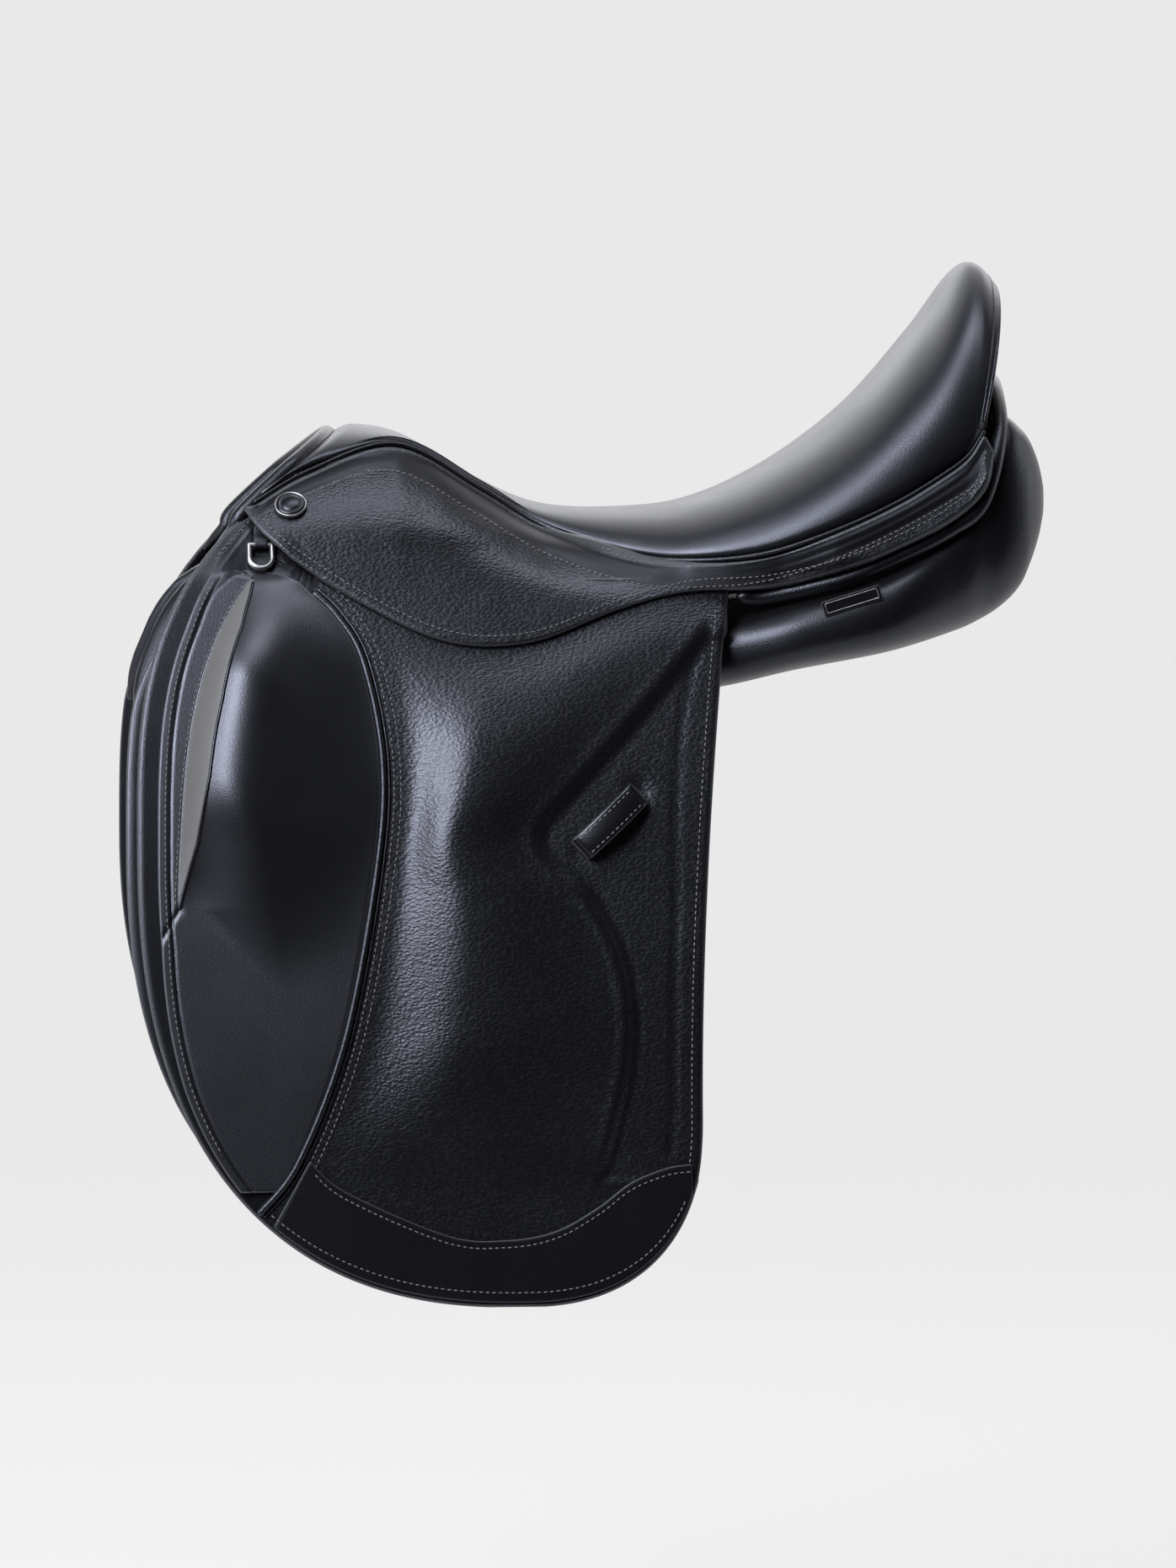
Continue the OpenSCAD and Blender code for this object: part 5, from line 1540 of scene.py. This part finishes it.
@dataclass
class Underside:
    """Panels, their roll over the back, the rear gusset, the gullet's lining and the tags."""

    shop: Workshop
    roll_r: float = 4.5
    roll_top: float = 176.0
    roll_x: float = 236.0
    gusset_t: float = 3.0
    lining_t: float = 2.0
    lining_low: float = 31.5
    tag_x: float = 140.0
    tag_z: float = 46.0
    tag_tilt: float = 17.0
    tag_half: tuple = (17.0, 4.0)
    border_half: tuple = (15.5, 2.8)
    border_r: float = 0.28

    def build(self) -> None:
        """Builds and dresses the pieces under the seat."""
        make, p = self.shop.make, self.shop.palette
        for side in Side:
            form = loft(SHAPE.panel_rings(10, 64))
            panel = make(form, "panel_cushion", ROOT, SMOOTH, "panel", p.panel, side=side)
            self.tag(side)
        gusset = sheet(self.gusset(0), self.gusset(self.gusset_t))
        lining = sheet(self.lining(0), self.lining(self.lining_t))
        for form, name, node, finish in (
                (tube(self.roll_path(), self.roll_r, 18), "panel_top_roll", "panel_roll", p.cord),
                (gusset, "rear_gusset_leather", "rear_gusset", p.panel),
                (lining, "gullet_lining_leather", "gullet_lining", p.strap)):
            make(form, name, ROOT, GRAINED, node, finish)

    def roll_side(self) -> Array:
        """Points of the roll under one skirt's edge."""
        rows = SHAPE.rows(2)
        edge = SHAPE.skirt_edge(rows)[14:len(rows) - 2:2]
        edge = np.vstack([edge[:1] - [14, 0, 0], edge])
        y = SHAPE.skirt_y(edge[:, 0], edge[:, 2]) - self.roll_r - 1.2
        return xyz(edge[:, 0] + 1, y, edge[:, 2] - self.roll_r - 3)

    def roll_path(self) -> Array:
        """The roll along both skirts' edges and over the back."""
        path = self.roll_side()
        x, y, z = path[-1]
        a = np.radians([30, 60, 90])
        back = xyz(mix(x, self.roll_x, np.sin(a)), y * np.cos(a), mix(z, self.roll_top, np.sin(a)))
        half = np.vstack([path, back])
        half[:, 0] += 4.5 * bell((half[:, 2] - 128) / 26) * ease((half[:, 0] - 170) / 40)
        return curve_through(both_sides(half), 8)

    def gusset(self, depth: float) -> Array:
        """Grid of the leather that closes the back under the roll."""
        _, wide, high = self.roll_side()[-1]
        y = np.linspace(-0.56, 0.56, 81)[:, None] * wide
        t = np.linspace(0, 1, 21)[None, :]
        top = mix(high, self.roll_top, np.sqrt(1 - (y / wide) ** 2)) - self.roll_r - 0.9
        foot = self.roll_top - 38 - 20 * ease((SHAPE.panel_in - 4 - np.abs(y)) / 6)
        x = self.roll_x - 0.4 * self.roll_r - 10 * (y / wide) ** 2 - depth
        return xyz(x, y, mix(top, foot, t))

    def lining(self, depth: float) -> Array:
        """Grid of the lining over the gullet."""
        rows = SHAPE.rows(8)[24:-12]
        us = np.linspace(-0.9, 0.9, 17)[None, :]
        x = mix(-SHAPE.seat_front, SHAPE.seat_back, rows[:, :1])
        z = np.minimum(SHAPE.dip_h + rows[:, 1:2], SHAPE.dip_h + 0.45 * SHAPE.cantle_rise)
        return xyz(x, us * (SHAPE.panel_in - 2), z - self.lining_low - depth)

    def tag(self, side: Side) -> None:
        """The blank woven tag on the panel, with a fine light border."""
        ring, p = SHAPE.panel_rings(20, 64), self.shop.palette
        y = ring[np.argmin(np.abs(ring[:, 0, 0] - self.tag_x))][:, 1].max() - 1.4
        cos, sin = math.cos(math.radians(self.tag_tilt)), math.sin(math.radians(self.tag_tilt))
        at = lambda a, b, out: xyz(self.tag_x + a * cos - b * sin, y + out, self.tag_z + a * sin + b * cos)
        (wide, tall), corners = self.tag_half, [[-1, -1], [1, -1], [1, 1], [-1, 1], [-1, -1]]
        a, b = np.linspace(-wide, wide, 35)[:, None], np.linspace(-tall, tall, 11)[None, :]
        line = even(np.array(corners) * self.border_half, 1.0)
        border = tube(at(line[:, 0], line[:, 1], 1.15), self.border_r, 8)
        form = sheet(at(a, b, 1.0), at(a, b, 0.0)).joined(border, 1)
        self.shop.make(form, "panel_tag", ROOT, "label", "label", p.patch, p.steel, side=side)


@dataclass
class Fittings:
    """The tree, its plates, bars, rings, webs and straps, and the dee's tab."""

    shop: Workshop
    dee_x: float = -198.5
    dee_y: float = 112.782
    dee_z: float = 78.0
    dee_tilt: float = 30.0
    tab_r: tuple = (2.5, 1.75)
    tab_w: float = 7.0
    tab_len: float = 12.0

    def build(self) -> None:
        """Gives the CAD nodes that stay their finishes, and builds the dee's tab."""
        p, dress = self.shop.palette, self.shop.dress
        middle = {"tree": p.wood, "head_plate": p.steel, "tree_rivets": p.steel, "seat_webbing": p.webbing}
        for node, material in middle.items():
            dress(node, material)
        paired = {"tree_point": p.wood, "stirrup_bar": p.steel, "bar_latch": p.steel, "dee_ring": p.steel,
                  "strap_rivets": p.steel, "girth_web": p.webbing, "front_strap": p.strap,
                  "rear_strap": p.strap}
        for side in Side:
            for node, material in paired.items():
                dress(side.of(node), material)
            self.tab(side)

    def tab_face(self, r: float) -> Array:
        """One face of the strip that loops round the dee's wire."""
        a = np.radians(np.linspace(-90, 90, 25))
        leg = np.linspace(0.3, self.tab_len, 12)
        d = np.concatenate([np.full(len(leg), -r), r * np.sin(a), np.full(len(leg), r)])
        up = np.concatenate([leg[::-1], -r * np.cos(a), leg])
        d = d * np.where(up > 2, 1 - 0.55 * ease((up - 2) / 6), 1)
        cos, sin = math.cos(math.radians(self.dee_tilt)), math.sin(math.radians(self.dee_tilt))
        y, z = self.dee_y + d * cos - up * sin, self.dee_z + d * sin + up * cos
        x = self.dee_x + np.linspace(-self.tab_w / 2, self.tab_w / 2, 9)
        return xyz(x, y[:, None], z[:, None])

    def tab(self, side: Side) -> None:
        """The leather tab that loops round the dee's wire, with its rivet."""
        x, z, p = self.dee_x + 7.0, self.dee_z - 8.5, self.shop.palette
        head = turned_profile([(0, -1), (2.2, -1), (2.5, 0.3), (2.3, 1.2), (1.5, 2.0), (0.6, 2.3), (0, 2.35)],
                              np.array([x, float(SHAPE.head_y(x, z)), z]), np.array([0.0, 1, 0.2]))
        form = sheet(*map(self.tab_face, self.tab_r)).joined(head, 1)
        self.shop.make(form, "dee_tab_leather", ROOT, GRAINED, "dee_tab", p.strap, p.steel, side=side)


@dataclass(frozen=True)
class Softbox:
    """A soft light: where it stands, the point it faces, its width, height and power."""

    name: str
    place: tuple
    aim: tuple
    wide: float
    tall: float
    watts: float
    colour: tuple = (0.97, 0.985, 1.0)

    def build(self) -> None:
        """Sets the light up."""
        data = bpy.data.lights.new(self.name, "AREA")
        data.shape, data.size, data.size_y = "RECTANGLE", self.wide, self.tall
        data.energy, data.color = self.watts, self.colour
        made = placed(self.name, data)
        made.location = self.place
        made.rotation_euler = (Vector(self.aim) - Vector(self.place)).to_track_quat("-Z", "Y").to_euler()


@dataclass
class Studio:
    """The photograph's camera, a pale sweep and soft lights."""

    azimuth: float = -4.5
    elevation: float = 2.5
    distance: float = 4.2
    target: tuple = (-0.001, 0.0, -0.065)
    lens: float = 162.5
    paper: float = 0.89
    flat_share: float = 0.9
    floor_z: float = -0.62
    floor_front: float = -0.7
    wall_y: float = 7.5
    wall_top: float = 14.0
    half_w: float = 18.0
    bend_r: float = 2.4
    air: tuple = (0.9, 0.95, 1.0, 1)
    ambient: float = 0.02
    lights: tuple = (
        Softbox("key softbox", (-1.36, -1.7, 1.3), (-0.1, -0.15, 0.02), 1.0, 1.8, 110),
        Softbox("overhead strip", (0.1, -0.4, 2.05), (-0.05, -0.1, 0.05), 1.4, 0.6, 20),
        Softbox("back softbox", (0.1, 2.0, 1.6), (0.05, 0.0, 0.1), 2.8, 1.5, 5),
        Softbox("side strip", (-2.5, -0.8, 0.25), (-0.2, -0.15, -0.05), 0.4, 1.3, 22),
        Softbox("rear strip", (2.1, 0.2, 0.7), (0.22, -0.05, 0.1), 1.0, 1.3, 8),
        Softbox("low back strip", (0.1, 2.0, 0.88), (0.05, 0.0, 0.15), 2.8, 0.5, 9))

    def build(self) -> None:
        """Sets the camera, the sweep, the world and the lights."""
        bpy.context.scene.view_settings.view_transform = "Standard"
        self.camera()
        self.sweep()
        self.world()
        for light in self.lights:
            light.build()

    def camera(self) -> None:
        """The camera at the photograph's angle."""
        a, e = math.radians(self.azimuth), math.radians(self.elevation)
        back = Vector((math.sin(a) * math.cos(e), -math.cos(a) * math.cos(e), math.sin(e)))
        data = bpy.data.cameras.new("camera")
        data.lens, data.sensor_width, data.clip_end = self.lens, 36.0, 50
        made = placed("camera", data)
        made.location = Vector(self.target) + back * self.distance
        made.rotation_euler = (-back).to_track_quat("-Z", "Y").to_euler()
        bpy.context.scene.camera = made

    def sweep(self) -> None:
        """A pale floor that curves up behind, and keeps the object's soft shadow."""
        r = self.bend_r
        bend = [(self.wall_y - r + r * math.sin(t), self.floor_z + r * (1 - math.cos(t)))
                for t in np.linspace(0, math.pi / 2, 24)]
        profile = [(self.floor_front, self.floor_z), *bend, (self.wall_y, self.wall_top)]
        verts = [(x, y, z) for y, z in profile for x in (-self.half_w, self.half_w)]
        faces = [(2 * i, 2 * i + 1, 2 * i + 3, 2 * i + 2) for i in range(len(profile) - 1)]
        mesh = bpy.data.meshes.new("sweep")
        mesh.from_pydata(verts, [], faces)
        placed("sweep", smoothed(mesh, self.backdrop()))

    def backdrop(self) -> Material:
        """The sweep's paper, which looks evenly pale to the camera and in reflections."""
        material = bpy.data.materials.new("pale paper")
        g = Graph(material)
        rays = lambda name: g.node("LightPath", out=name)
        seen = rays("Is Camera Ray") + rays("Is Glossy Ray") + rays("Is Transmission Ray")
        tone = (self.paper,) * 3 + (1,)
        lit = g.node("BsdfDiffuse", inputs={"Color": tone})
        flat = g.node("Emission", inputs={"Color": tone, "Strength": 1.0})
        share = g.bounded(seen, 0.0, 1.0) * self.flat_share
        g.surface(g.node("MixShader", inputs={0: share, 1: lit, 2: flat}))
        return material

    def world(self) -> None:
        """A dim, even room."""
        world = bpy.data.worlds.new("room")
        g = Graph(world)
        g.surface(g.node("Background", inputs={"Color": self.air, "Strength": self.ambient}))
        bpy.context.scene.world = world


def main() -> None:
    """Builds the saddle on its frame and the studio round it."""
    logging.basicConfig(level=logging.INFO)
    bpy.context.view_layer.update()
    palette = Palette()
    shop = Workshop(palette, Needle(palette.thread))
    Studio().build()
    Seat(shop).build()
    for side in Side:
        Skirt(shop, side).build()
        Flap(shop, side).build()
    Underside(shop).build()
    Fittings(shop).build()
    log.info("%d pieces: %s", len(shop.made), ", ".join(shop.made))


if __name__ == "__main__":
    main()
